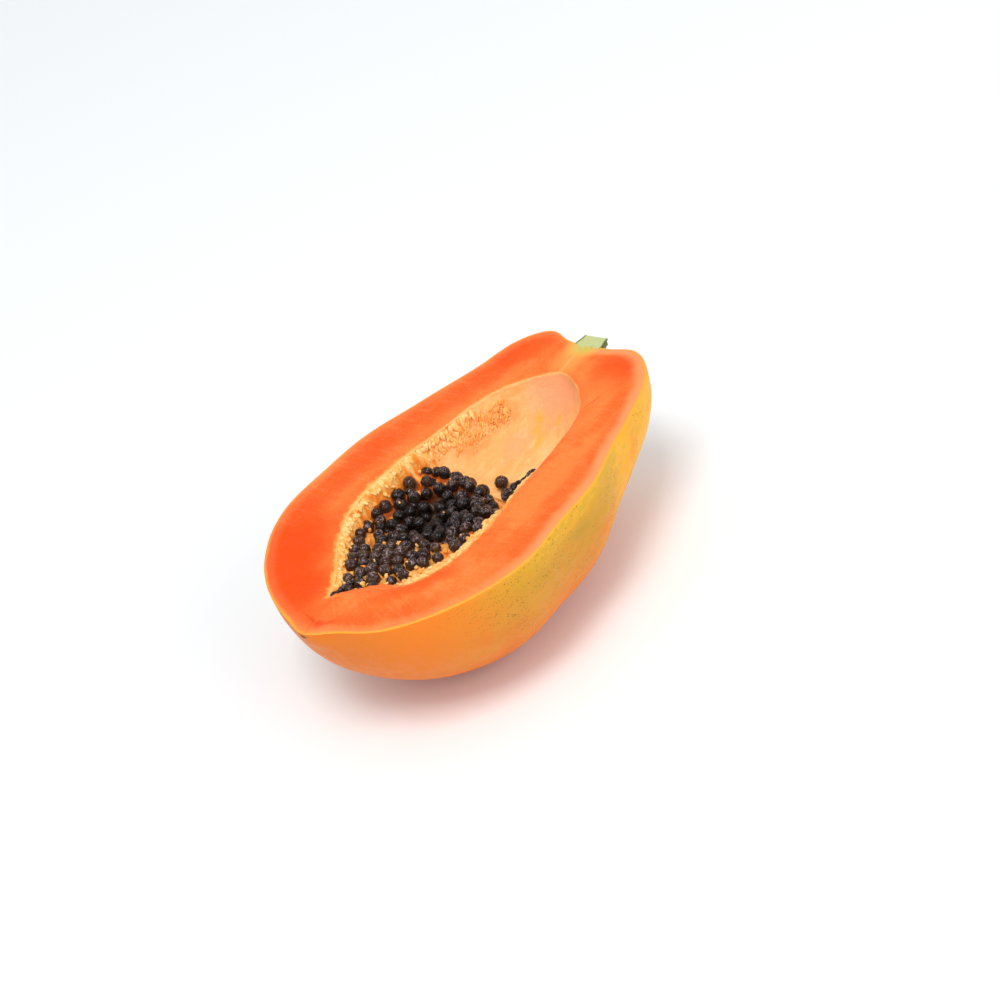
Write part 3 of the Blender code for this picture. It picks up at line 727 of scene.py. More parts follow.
@dataclass(frozen=True)
class SilkyLining:
    """The cavity's lining: pale peach, pinker at the stem end, with brown pinpricks."""

    peach: Colour = paint(250, 178, 108)
    pale: Colour = paint(254, 202, 136)
    pink: Colour = paint(252, 170, 126)
    orange: Colour = paint(246, 132, 52)
    yellow: Colour = paint(236, 178, 60)
    cream: Colour = paint(255, 214, 148)
    dot: Colour = paint(140, 66, 12)
    glow: float = 0.12
    gloss: Gloss = Gloss(0.20, 0.03, 0.2, 0.0, (1.0, 0.45, 0.18), 0.0015, (1.0, 0.75, 0.5))
    moisture: Moisture = Moisture(800.0, 200.0, 0.45, 0.28, 0.0006)
    pink_end: Mark = Mark((0.072, 0.002, -0.006), (0.022, 0.022, 0.020), 0.85, 0.0, 0.5)
    blush: Mark = Mark((0.0500, 0.0142, -0.0220), (0.0150, 0.0080, 0.0080), 0.5, 0.0, 0.6)
    streaks: tuple[Mark, ...] = (
        Mark((0.0645, 0.0088, -0.0165), (0.0056, 0.0030, 0.0046), 0.65, 0.0, 1.6),
        Mark((0.0598, 0.0085, -0.0198), (0.0036, 0.0022, 0.0030), 0.65, 0.0, 1.6),
        Mark((0.0655, -0.0010, -0.0172), (0.0040, 0.0020, 0.0032), 0.65, 0.0, 1.6),
        Mark((0.0560, 0.0052, -0.0232), (0.0075, 0.0026, 0.0036), 0.65, 0.0, 1.6))
    pricked: tuple[Mark, Mark] = (
        Mark((0.054, 0.0215, -0.0110), (0.018, 0.009, 0.007), 1.0, -16.0, 0.6),
        Mark((0.040, 0.0250, -0.0150), (0.016, 0.007, 0.007), 0.9, 0.0, 0.6))
    pinpricks: FleckLayer = FleckLayer(1050.0, 0.40, 0.95, 80.0, 0.9)

    def material(self) -> bpy.types.Material:
        """Build the material."""
        made, pen, shader = new_material("silky_lining", self.gloss)
        mottle = pen.effect(EFFECTS.mottle, pen.coords((0.5, 1.0, 1.0), 10.0),
                            {"Broad": 60.0, "Fine": 380.0, "Fine Share": 0.5})
        base = pen.mix(mottle.outputs["Mask"], self.peach, self.pale)
        vein = pen.noise(pen.coords((0.30, 1.0, 1.0), 12.0), 0.0024, 4.0, 0.65, 0.6)
        base = pen.over(base, self.cream, pen.ramp(vein, 0.52, 0.70), 0.45)
        base = pen.over(base, self.yellow, pen.ramp(vein, 0.48, 0.30), 0.35)
        base = pen.patches(base, self.pink, self.pink_end)
        place = pen.coords()
        low = pen.sway(pen.attribute("below_rim"), pen.noise(place, 0.004, 3.0), 0.006)
        stem_side = pen.ramp(pen.node("ShaderNodeSeparateXYZ", {0: place}).outputs["X"], 0.056, 0.030)
        # A deeper orange band below the rim where the tufts are rooted: partly the lining's own colour,
        # partly painted shade in the gaps between the tufts and ribs.
        rooted = pen.masked(pen.ramp(low, 0.0095, 0.0035), pen.ramp(low, 0.0005, 0.0022), stem_side)
        base = pen.over(base, self.orange, rooted, 0.85)
        pen.feed(shader.inputs["Subsurface Weight"], pen.ramp(rooted, 0.0, 0.4, (self.glow, 0.0)))
        # Cream just under the rim: partly the lining's own pale edge, partly painted light that lifts the
        # shaded wall there.
        base = pen.over(base, self.cream, pen.ramp(low, 0.0016, 0.0002), 0.9)
        base = pen.patches(base, self.yellow, *self.streaks)
        base = pen.patches(base, self.pink, self.blush)
        pricked = pen.maths("MAXIMUM", *(pen.patch(mark) for mark in self.pricked))
        base = pen.over(base, self.orange, pricked, 0.40)
        dots = self.pinpricks.mask(pen, pen.coords((0.6, 1.0, 1.0), 12.0))
        base = pen.over(base, self.dot, dots, pricked, self.pinpricks.strength)
        pen.feed(shader.inputs["Base Color"], base)
        self.moisture.lay(pen, shader, pen.coords((0.5, 1.0, 1.0)))
        return made


@dataclass(frozen=True)
class RaggedPulp:
    """The pulp that holds the seeds: deep orange between them; where it lies bare, its own golden and cream
    on the crests over orange hollows, laid by height as painted light and shade; near-black in the dip as
    painted shade.
    """

    cream: Colour = paint(255, 206, 132)
    golden: Colour = paint(254, 178, 88)
    orange: Colour = paint(244, 136, 44)
    brown: Colour = paint(176, 78, 20)
    dark: Colour = paint(40, 18, 8)
    flesh: Colour = paint(252, 114, 42)
    gloss: Gloss = Gloss(0.30, 0.10, 0.15, 0.15, (1.0, 0.4, 0.15), 0.003, (1.0, 0.75, 0.5))
    moisture: Moisture = Moisture(900.0, 320.0, 0.45, 0.24, 0.0008)

    def material(self) -> bpy.types.Material:
        """Build the material."""
        made, pen, shader = new_material("ragged_pulp", self.gloss)
        place = pen.coords()
        fine = pen.noise(place, 0.0020, 4.0, 0.6)
        bare = pen.sway(pen.attribute("bare"), fine, 0.6)
        ridge = pen.sway(pen.attribute("ridge"), fine, 0.8)
        base = pen.mix(pen.ramp(bare, 0.0, 0.35), self.brown, self.orange)
        # Painted light and shade: the bare pulp's golden and cream go on its crests and leave orange in its
        # hollows.
        base = pen.over(base, self.golden, pen.ramp(bare, 0.30, 0.70), pen.ramp(ridge, 0.20, 0.55))
        base = pen.over(base, self.cream, pen.ramp(bare, 0.45, 0.90), pen.ramp(ridge, 0.45, 0.80))
        # Painted shade: near-black pulp in the heap's dip.
        base = pen.over(base, self.dark, pen.ramp(pen.attribute("dip"), 0.20, 0.65))
        base = pen.over(base, self.flesh, pen.attribute("flesh"))
        pen.feed(shader.inputs["Base Color"], base)
        self.moisture.lay(pen, shader, place)
        return made


@dataclass(frozen=True)
class FibreTufts:
    """The pale tufts where the seeds were attached."""

    cream: Colour = paint(255, 216, 148)
    yellow: Colour = paint(255, 190, 104)
    orange: Colour = paint(252, 150, 66)
    gloss: Gloss = Gloss(0.20, 0.03, 0.2, tint=(1.0, 0.8, 0.55))

    def material(self) -> bpy.types.Material:
        """Build the material."""
        made, pen, shader = new_material("fibre_tufts", self.gloss)
        tone = pen.attribute("tone")
        fine = pen.noise(pen.coords(), 0.0016, 3.0)
        base = pen.mix(pen.ramp(tone, 0.30, 1.0), self.yellow, self.cream)
        base = pen.over(base, self.orange, pen.ramp(tone, 0.40, 0.0), 0.9)
        base = pen.over(base, self.orange, pen.ramp(fine, 0.50, 0.34), 0.5)
        pen.feed(shader.inputs["Base Color"], base)
        pen.feed(shader.inputs["Roughness"], pen.ramp(fine, 0.3, 0.7, (0.30, 0.50)))
        add_relief(pen, shader, fine, 0.0004)
        return made


@dataclass(frozen=True)
class SeedCoat:
    """Glossy brown-black seed coats with wrinkles, some with an olive cast, with a painted lavender
    reflection along the wrinkles and painted highlights on their upper sides.
    """

    black: Colour = paint(14, 7, 3)
    brown: Colour = paint(70, 38, 20)
    olive: Colour = paint(92, 66, 20)
    painted_violet_reflection: Colour = paint(100, 70, 78)
    painted_glint: Colour = paint(188, 162, 168)
    gloss: Gloss = Gloss(0.28, 0.38, 0.05, tint=(1.0, 0.76, 0.60))

    def material(self) -> bpy.types.Material:
        """Build the material."""
        made, pen, shader = new_material("seed_coat", self.gloss)
        tone = pen.attribute("tone")
        place = pen.coords()
        broad = pen.noise(place, 0.0035, 2.0)
        base = pen.mix(pen.ramp(tone, 0.25, 1.00), self.black, self.brown)
        base = pen.over(base, self.olive, pen.ramp(broad, 0.50, 0.68), pen.ramp(tone, 0.1, 0.9))
        wrinkle = pen.noise(place, 0.0017, 3.0, 0.62, 1.8)
        ridge = pen.maths("ABSOLUTE", pen.maths("SUBTRACT", wrinkle, 0.5))
        # Painted reflection: lavender-grey along the wrinkle lines, strongest on the browner seeds.
        base = pen.over(base, self.painted_violet_reflection, pen.ramp(ridge, 0.05, 0.0), pen.ramp(tone, 0.0, 0.8), 0.40)
        # Painted highlights: pale specks on the upward-facing sides of the seeds, weaker on the darkest
        # ones.
        painted_glint_specks = pen.ramp(pen.noise(place, 0.0012, 2.0, 0.5, 1.2), 0.53, 0.61)
        painted_glint_mask = pen.masked(painted_glint_specks, pen.ramp(pen.attribute("up"), 0.20, 0.80),
                           pen.ramp(tone, 0.0, 0.5, (0.35, 1.0)))
        base = pen.over(base, self.painted_glint, painted_glint_mask, 0.72)
        pen.feed(shader.inputs["Base Color"], base)
        pen.feed(shader.inputs["Roughness"], pen.ramp(wrinkle, 0.3, 0.7, (0.14, 0.30)))
        add_relief(pen, shader, pen.maths("MULTIPLY", ridge, 2.0), 0.0018)
        return made


@dataclass(frozen=True)
class StalkWood:
    """The stub of the stalk: pale green where it is cut, dull green-brown outside."""

    pith: Colour = paint(196, 202, 140)
    root: Colour = paint(238, 214, 138)
    bark: Colour = paint(104, 116, 62)
    brown: Colour = paint(92, 78, 44)
    cut_gloss: Gloss = Gloss(0.25, 0.0, 0.3, 0.2, (0.7, 1.0, 0.3), 0.002)
    bark_gloss: Gloss = Gloss(0.25)

    def cut_material(self) -> bpy.types.Material:
        """Build the material of the cut top."""
        made, pen, shader = new_material("stalk_cut", self.cut_gloss)
        split = pen.node("ShaderNodeSeparateXYZ", {0: pen.coords()})
        grain = pen.noise(pen.coords((0.15, 1.0, 1.0)), 0.0012, 4.0)
        base = pen.mix(pen.ramp(split.outputs["X"], 0.0985, 0.0905), self.pith, self.root)
        rim = pen.ramp(pen.attribute("from_bark"), 0.0013, 0.0003)
        base = pen.over(base, self.bark, rim, pen.ramp(split.outputs["X"], 0.096, 0.099))
        base = pen.over(base, self.bark, pen.ramp(grain, 0.5, 0.3), 0.16)
        pen.feed(shader.inputs["Base Color"], base)
        pen.feed(shader.inputs["Roughness"], pen.ramp(grain, 0.3, 0.7, (0.40, 0.60)))
        add_relief(pen, shader, grain, 0.0004)
        return made

    def bark_material(self) -> bpy.types.Material:
        """Build the material of the round outside."""
        made, pen, shader = new_material("stalk_bark", self.bark_gloss)
        grain = pen.noise(pen.coords((0.3, 1.0, 1.0)), 0.0018, 4.0)
        split = pen.node("ShaderNodeSeparateXYZ", {0: pen.coords()})
        base = pen.mix(pen.ramp(grain, 0.35, 0.65), self.bark, self.brown)
        base = pen.over(base, self.root, pen.ramp(split.outputs["X"], 0.0975, 0.0950))
        pen.feed(shader.inputs["Base Color"], base)
        pen.feed(shader.inputs["Roughness"], pen.ramp(grain, 0.3, 0.7, (0.50, 0.72)))
        add_relief(pen, shader, grain, 0.0006)
        return made


def make_piece(name: str, points: np.ndarray, faces: list[tuple[int, ...]],
               materials: list[bpy.types.Material]) -> bpy.types.Object:
    """Make a mesh object at the origin, with its place in its mesh.

    Args:
        name: the piece's name.
        points: vertices in the fruit's own frame.
        faces: vertex numbers of each face.
        materials: its material slots.

    Returns:
        The object.
    """
    mesh = bpy.data.meshes.new(name)
    mesh.from_pydata((points + SHIFT).tolist(), [], faces)
    for material in materials:
        mesh.materials.append(material)
    mesh.shade_smooth()
    piece = bpy.data.objects.new(name, mesh)
    bpy.context.scene.collection.objects.link(piece)
    return piece


def write_attribute(mesh: bpy.types.Mesh, name: str, kind: str, values: np.ndarray) -> None:
    """Store one value, or one vector, for each vertex."""
    layer = mesh.attributes.new(name, kind, "POINT")
    layer.data.foreach_set("vector" if kind == "FLOAT_VECTOR" else "value",
                           np.asarray(values, np.float32).ravel())


def face_outwards(piece: bpy.types.Object) -> None:
    """Turn every face of a closed piece outwards."""
    bm = bmesh.new()
    bm.from_mesh(piece.data)
    bmesh.ops.recalc_face_normals(bm, faces=bm.faces)
    bm.to_mesh(piece.data)
    bm.free()


def settle_piece(piece: bpy.types.Object, slot: Slot, *nodes: str) -> bpy.types.Object:
    """Put a piece on the body and hide the model's nodes that it stands for."""
    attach(piece, BODY)
    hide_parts(*nodes)
    LOG.info("%s: %d faces", piece.name, len(piece.data.polygons))
    return piece


class BallScatter:
    """A Geometry Nodes tree that sets a wrinkled ball on every point of a mesh."""

    # Noise that lies LEVEL from its middle leaves the ball round, and GAIN steepens the wrinkles.
    LEVEL = 0.12
    GAIN = 8.0

    def __init__(self) -> None:
        """Build the tree with its named inputs."""
        self.tree = bpy.data.node_groups.new("BallScatter", "GeometryNodeTree")
        face = self.tree.interface
        face.new_socket("Geometry", in_out="INPUT", socket_type="NodeSocketGeometry")
        self.inputs = {label: face.new_socket(label, in_out="INPUT", socket_type=kind) for label, kind in (
            ("Fineness", "NodeSocketInt"), ("Relief Depth", "NodeSocketFloat"),
            ("Relief Size", "NodeSocketFloat"), ("Material", "NodeSocketMaterial"))}
        face.new_socket("Geometry", in_out="OUTPUT", socket_type="NodeSocketGeometry")
        pen = Pen(self.tree)
        given, result = pen.node("NodeGroupInput"), pen.node("NodeGroupOutput")
        ball = pen.node("GeometryNodeMeshIcoSphere", {"Radius": 1.0,
                                                      "Subdivisions": given.outputs["Fineness"]})
        size, turn = (pen.node("GeometryNodeInputNamedAttribute", {"Name": name},
                               data_type="FLOAT_VECTOR").outputs["Attribute"] for name in ("size", "turn"))
        turned = pen.node("FunctionNodeEulerToRotation", {0: turn})
        placed = pen.node("GeometryNodeInstanceOnPoints", {
            "Points": given.outputs["Geometry"], "Instance": ball.outputs["Mesh"],
            "Rotation": turned.outputs[0], "Scale": size})
        real = pen.node("GeometryNodeRealizeInstances", {"Geometry": placed.outputs[0]})
        place = pen.node("GeometryNodeInputPosition")
        scale = pen.maths("DIVIDE", 1.0, given.outputs["Relief Size"])
        wave = pen.waves(place.outputs[0], scale, 2.0).outputs[0]
        ridge = pen.maths("ABSOLUTE", pen.maths("SUBTRACT", wave, 0.5))
        push = pen.masked(pen.maths("SUBTRACT", self.LEVEL, ridge), given.outputs["Relief Depth"], self.GAIN)
        normal = pen.node("GeometryNodeInputNormal").outputs[0]
        offset = pen.node("ShaderNodeVectorMath", {0: normal, "Scale": push}, operation="SCALE")
        moved = pen.node("GeometryNodeSetPosition", {"Geometry": real.outputs[0],
                                                     "Offset": offset.outputs[0]})
        smooth = pen.node("GeometryNodeSetShadeSmooth", {0: moved.outputs[0]})
        dressed = pen.node("GeometryNodeSetMaterial", {"Geometry": smooth.outputs[0],
                                                       "Material": given.outputs["Material"]})
        pen.feed(result.inputs[0], dressed.outputs[0])

    def grow(self, name: str, places: np.ndarray, sizes: np.ndarray, turns: np.ndarray, tones: np.ndarray,
             fineness: int, relief: tuple[float, float], material: bpy.types.Material) -> bpy.types.Object:
        """Set the balls and turn the result into a plain mesh.

        Args:
            name: the piece's name.
            places: centres, in the fruit's own frame.
            sizes: half lengths of each ball.
            turns: Euler angles of each ball, in radians.
            tones: a number from 0 to 1 for each ball, which its material reads.
            fineness: subdivisions of the ball.
            relief: depth and size of the wrinkles.
            material: the finish.

        Returns:
            The object.
        """
        piece = make_piece(name, places, [], [])
        write_attribute(piece.data, "size", "FLOAT_VECTOR", sizes)
        write_attribute(piece.data, "turn", "FLOAT_VECTOR", turns)
        write_attribute(piece.data, "tone", "FLOAT", tones)
        modifier = piece.modifiers.new("balls", "NODES")
        modifier.node_group = self.tree
        values = {"Fineness": fineness, "Relief Depth": relief[0], "Relief Size": relief[1],
                  "Material": material}
        for label, value in values.items():
            modifier[self.inputs[label].identifier] = value
        piece.update_tag()
        bpy.context.view_layer.update()
        graph = bpy.context.evaluated_depsgraph_get()
        mesh = bpy.data.meshes.new_from_object(piece.evaluated_get(graph))
        piece.modifiers.remove(modifier)
        piece.data = mesh
        mesh.name = name
        # The upward share of each vertex's normal, which the seed coat reads to lay its painted highlights.
        normals = np.empty(3 * len(mesh.vertices))
        mesh.vertices.foreach_get("normal", normals)
        write_attribute(mesh, "up", "FLOAT", normals[2::3])
        return piece


def euler_of(long_way: np.ndarray, up: np.ndarray) -> tuple[float, float, float]:
    """Angles that turn a ball's X along one direction and its Z near another."""
    x = Vector(long_way).normalized()
    y = Vector(up).cross(x).normalized()
    return tuple(Matrix((x, y, x.cross(y))).transposed().to_euler())


@dataclass
class FruitBody:
    """Skin, cut face and lining as one closed mesh with a finish for each."""

    steps_along: int = 260
    steps_skin: int = 96
    steps_cut: int = 26
    steps_lining: int = 110
    edge_drop: float = 0.00035
    edge_reach: float = 0.0005
    rim_drop: float = 0.0008
    rim_reach: float = 0.0010
    cut_waves: float = 0.00018
    wave_size: float = 0.016
    edge_fade: float = 0.004
    shrink: float = 0.0002
    dent_depth: float = 0.00035
    dent_size: float = 0.024
    rib_depth: float = 0.0007
    rib_size: float = 0.0022
    rib_stretch: float = 0.35
    fold_depth: float = 0.00030
    fold_size: float = 0.006
    near_reach: float = 0.012
    outline_length: float = 0.56

    def build(self) -> bpy.types.Object:
        """Make the mesh, its attributes and its finishes."""
        n = self.steps_along
        angle = np.linspace(0, 180, n + 1)
        turns = np.linspace(0, 180, self.steps_skin + 1)
        skin = FORM.skin(*np.meshgrid(angle, turns, indexing="ij"))
        skin = self._skin_relief(skin)
        lining_turns = 180 * smooth_rows(self.steps_lining)
        walk, turn = np.meshgrid(angle, lining_turns, indexing="ij")
        lining = FORM.lining(walk, turn)
        below = self._below_rim(walk, turn)
        lining = self._lining_relief(lining, walk, below)
        outline = self._loop(skin)
        rim = self._loop(lining)
        share = smooth_rows(self.steps_cut)[1:-1]
        rings = [outline + (rim - outline) * s for s in share]
        loops = np.array([outline, *rings, rim])
        loops, from_skin, from_rim = self._cut_relief(loops)
        skin[:, 0], skin[:, -1] = self._sides(loops[0], n)
        lining[:, 0], lining[:, -1] = self._sides(loops[-1], n)
        return self._assemble(skin, loops, lining, from_skin, from_rim, below)

    def _loop(self, grid: np.ndarray) -> np.ndarray:
        """The open edge of a half shell, once round from the blossom end."""
        return np.concatenate((grid[:, 0], grid[-2:0:-1, -1]))

    def _sides(self, loop: np.ndarray, n: int) -> tuple[np.ndarray, np.ndarray]:
        """Split a loop into its far and near side."""
        return loop[:n + 1], np.concatenate((loop[:1], loop[:n - 1:-1]))

    def _skin_relief(self, skin: np.ndarray) -> np.ndarray:
        """Slight dents all over, and the flat spot underneath."""
        flat = skin.reshape(-1, 3)
        outward = flat / np.linalg.norm(flat, axis=1, keepdims=True)
        dents = np.clip(0.5 - 0.5 * ripple(flat, self.dent_size, 3, 4.0), 0, 1)
        flat = flat - outward * (self.shrink + self.dent_depth * dents)[:, None]
        flat[:, 2] = np.maximum(flat[:, 2], -SHIFT[2])
        return flat.reshape(skin.shape)

    def _below_rim(self, walk: np.ndarray, turn: np.ndarray) -> np.ndarray:
        """How far each place of the lining lies below the cavity's rim, along the wall."""
        half = FORM.section(walk)[2]
        return np.radians(np.minimum(turn, 180 - turn)) * half

    def _lining_relief(self, lining: np.ndarray, walk: np.ndarray, below: np.ndarray) -> np.ndarray:
        """Ribs near the rim, fine folds lower down, and the rounded rim itself."""
        x, middle, _, _ = FORM.section(walk)
        centre = np.stack((x, middle, 0 * x), axis=-1)
        outward = lining - centre
        outward /= np.maximum(np.linalg.norm(outward, axis=-1, keepdims=True), 1e-6)
        along = walk / 180 * FORM.length
        comb = np.stack((along, self.rib_stretch * below, 0 * along), axis=-1).reshape(-1, 3)
        ribs = ripple(comb, self.rib_size, 2, 9.0).reshape(walk.shape)
        folds = ripple(lining.reshape(-1, 3) * (0.5, 1, 1), self.fold_size, 3, 2.0).reshape(walk.shape)
        band = smooth_step(0.0004, 0.0020, below) * (1 - smooth_step(0.004, 0.011, below))
        stem_side = 1 - smooth_step(0.030, 0.055, x)
        push = self.rib_depth * ribs * band * (0.25 + 0.75 * stem_side)
        push = push + self.fold_depth * folds * smooth_step(0.002, 0.008, below)
        fade = np.sin(np.radians(walk))
        lining = lining + outward * (push * fade)[..., None]
        lining[..., 2] -= self.rim_drop * np.exp(-below / self.rim_reach)
        return lining

    def _cut_relief(self, loops: np.ndarray) -> tuple[np.ndarray, np.ndarray, np.ndarray]:
        """Round the two edges of the cut face and leave it slightly wavy.

        Returns:
            The loops, and each vertex's distance from the skin and from the cavity's rim.
        """
        flat = loops.copy()
        flat[..., 2] = 0
        step = np.linalg.norm(np.diff(flat, axis=0), axis=2)
        from_skin = np.concatenate((np.zeros((1, step.shape[1])), np.cumsum(step, axis=0)))
        from_rim = from_skin[-1] - from_skin
        waves = ripple(flat.reshape(-1, 3), self.wave_size, 3, 6.0).reshape(from_skin.shape)
        away = smooth_step(0.0, self.edge_fade, from_skin) * smooth_step(0.0, self.edge_fade, from_rim)
        drop = self.cut_waves * np.clip(0.5 - 0.5 * waves, 0, 1) * away
        drop += self.edge_drop * np.exp(-from_skin / self.edge_reach)
        drop += self.rim_drop * np.exp(-from_rim / self.rim_reach)
        flat[..., 2] = -drop
        return flat, from_skin, from_rim

    def _assemble(self, skin: np.ndarray, loops: np.ndarray, lining: np.ndarray, from_skin: np.ndarray,
                  from_rim: np.ndarray, below: np.ndarray) -> bpy.types.Object:
        """Join the three grids, which share their edges, into one closed mesh."""
        n, m, k = self.steps_along, self.steps_skin, self.steps_lining
        blocks = [*loops, skin[1:-1, 1:-1].reshape(-1, 3), lining[1:-1, 1:-1].reshape(-1, 3)]
        ends = np.cumsum([len(block) for block in blocks])
        ids = [np.arange(end - len(block), end) for block, end in zip(blocks, ends)]
        ring_ids = np.array(ids[:-2])
        skin_ids = self._shell_ids(ring_ids[0], ids[-2], n, m)
        lining_ids = self._shell_ids(ring_ids[-1], ids[-1], n, k)
        faces: list[tuple[int, ...]] = []
        slots: list[int] = []
        self._add_shell(faces, skin_ids, False)
        slots += [0] * (len(faces) - len(slots))
        for inner, outer in zip(ring_ids[1:], ring_ids[:-1]):
            for i in range(len(inner)):
                j = (i + 1) % len(inner)
                faces.append((outer[i], inner[i], inner[j], outer[j]))
        slots += [1] * (len(faces) - len(slots))
        self._add_shell(faces, lining_ids, True)
        slots += [2] * (len(faces) - len(slots))
        finishes = [WaxySkin().material(), CutFlesh().material(), SilkyLining().material()]
        piece = make_piece("papaya_half", np.concatenate(blocks), [tuple(map(int, face)) for face in faces],
                           finishes)
        mesh = piece.data
        mesh.polygons.foreach_set("material_index", slots)
        self._write_numbers(mesh, ring_ids, lining_ids, from_skin, from_rim, below)
        self._map_cut(mesh, ring_ids, from_skin)
        return piece

    def _shell_ids(self, loop: np.ndarray, inside: np.ndarray, n: int, m: int) -> np.ndarray:
        """Vertex numbers of a half shell's grid, whose edge is a loop and whose ends are single points."""
        ids = np.empty((n + 1, m + 1), int)
        ids[1:-1, 1:-1] = inside.reshape(n - 1, m - 1)
        ids[:, 0], ids[:, -1] = self._sides(loop, n)
        ids[0, :], ids[-1, :] = loop[0], loop[n]
        return ids

    def _add_shell(self, faces: list[tuple[int, ...]], ids: np.ndarray, inward: bool) -> None:
        """Add a half shell's faces, facing out of the fruit or into its cavity."""
        for i in range(ids.shape[0] - 1):
            for j in range(ids.shape[1] - 1):
                ring = (ids[i, j], ids[i, j + 1], ids[i + 1, j + 1], ids[i + 1, j])
                ring = tuple(dict.fromkeys(ring))
                faces.append(ring if inward else ring[::-1])

    def _write_numbers(self, mesh: bpy.types.Mesh, ring_ids: np.ndarray, lining_ids: np.ndarray,
                       from_skin: np.ndarray, from_rim: np.ndarray, below: np.ndarray) -> None:
        """Store the distances that the finishes read."""
        skin_way, rim_way, under = np.zeros((3, len(mesh.vertices)))
        skin_way[ring_ids] = from_skin
        rim_way[ring_ids] = from_rim
        under[lining_ids] = below
        across = np.array([v.co.y for v in mesh.vertices]) - SHIFT[1]
        near = smooth_step(self.near_reach, -self.near_reach, across)
        for name, values in (("from_skin", skin_way), ("from_rim", rim_way), ("below_rim", under),
                             ("near_side", near)):
            write_attribute(mesh, name, "FLOAT", values)

    def _map_cut(self, mesh: bpy.types.Mesh, ring_ids: np.ndarray, from_skin: np.ndarray) -> None:
        """Unroll the cut face: along the outline, and from the skin inwards."""
        around, inward = np.zeros((2, len(mesh.vertices)))
        around[ring_ids] = np.linspace(0, self.outline_length, ring_ids.shape[1])[None, :]
        inward[ring_ids] = from_skin
        corner = np.empty(len(mesh.loops), int)
        mesh.loops.foreach_get("vertex_index", corner)
        layer = mesh.uv_layers.new(name="cut_map")
        places = np.column_stack((around[corner], inward[corner])).astype(np.float32)
        layer.uv.foreach_set("vector", places.ravel())


def smooth_rows(count: int) -> np.ndarray:
    """Shares from 0 to 1 that lie closer together near both ends."""
    t = np.linspace(0, 1, count + 1)
    return 0.45 * t + 0.55 * (0.5 - 0.5 * np.cos(math.pi * t))


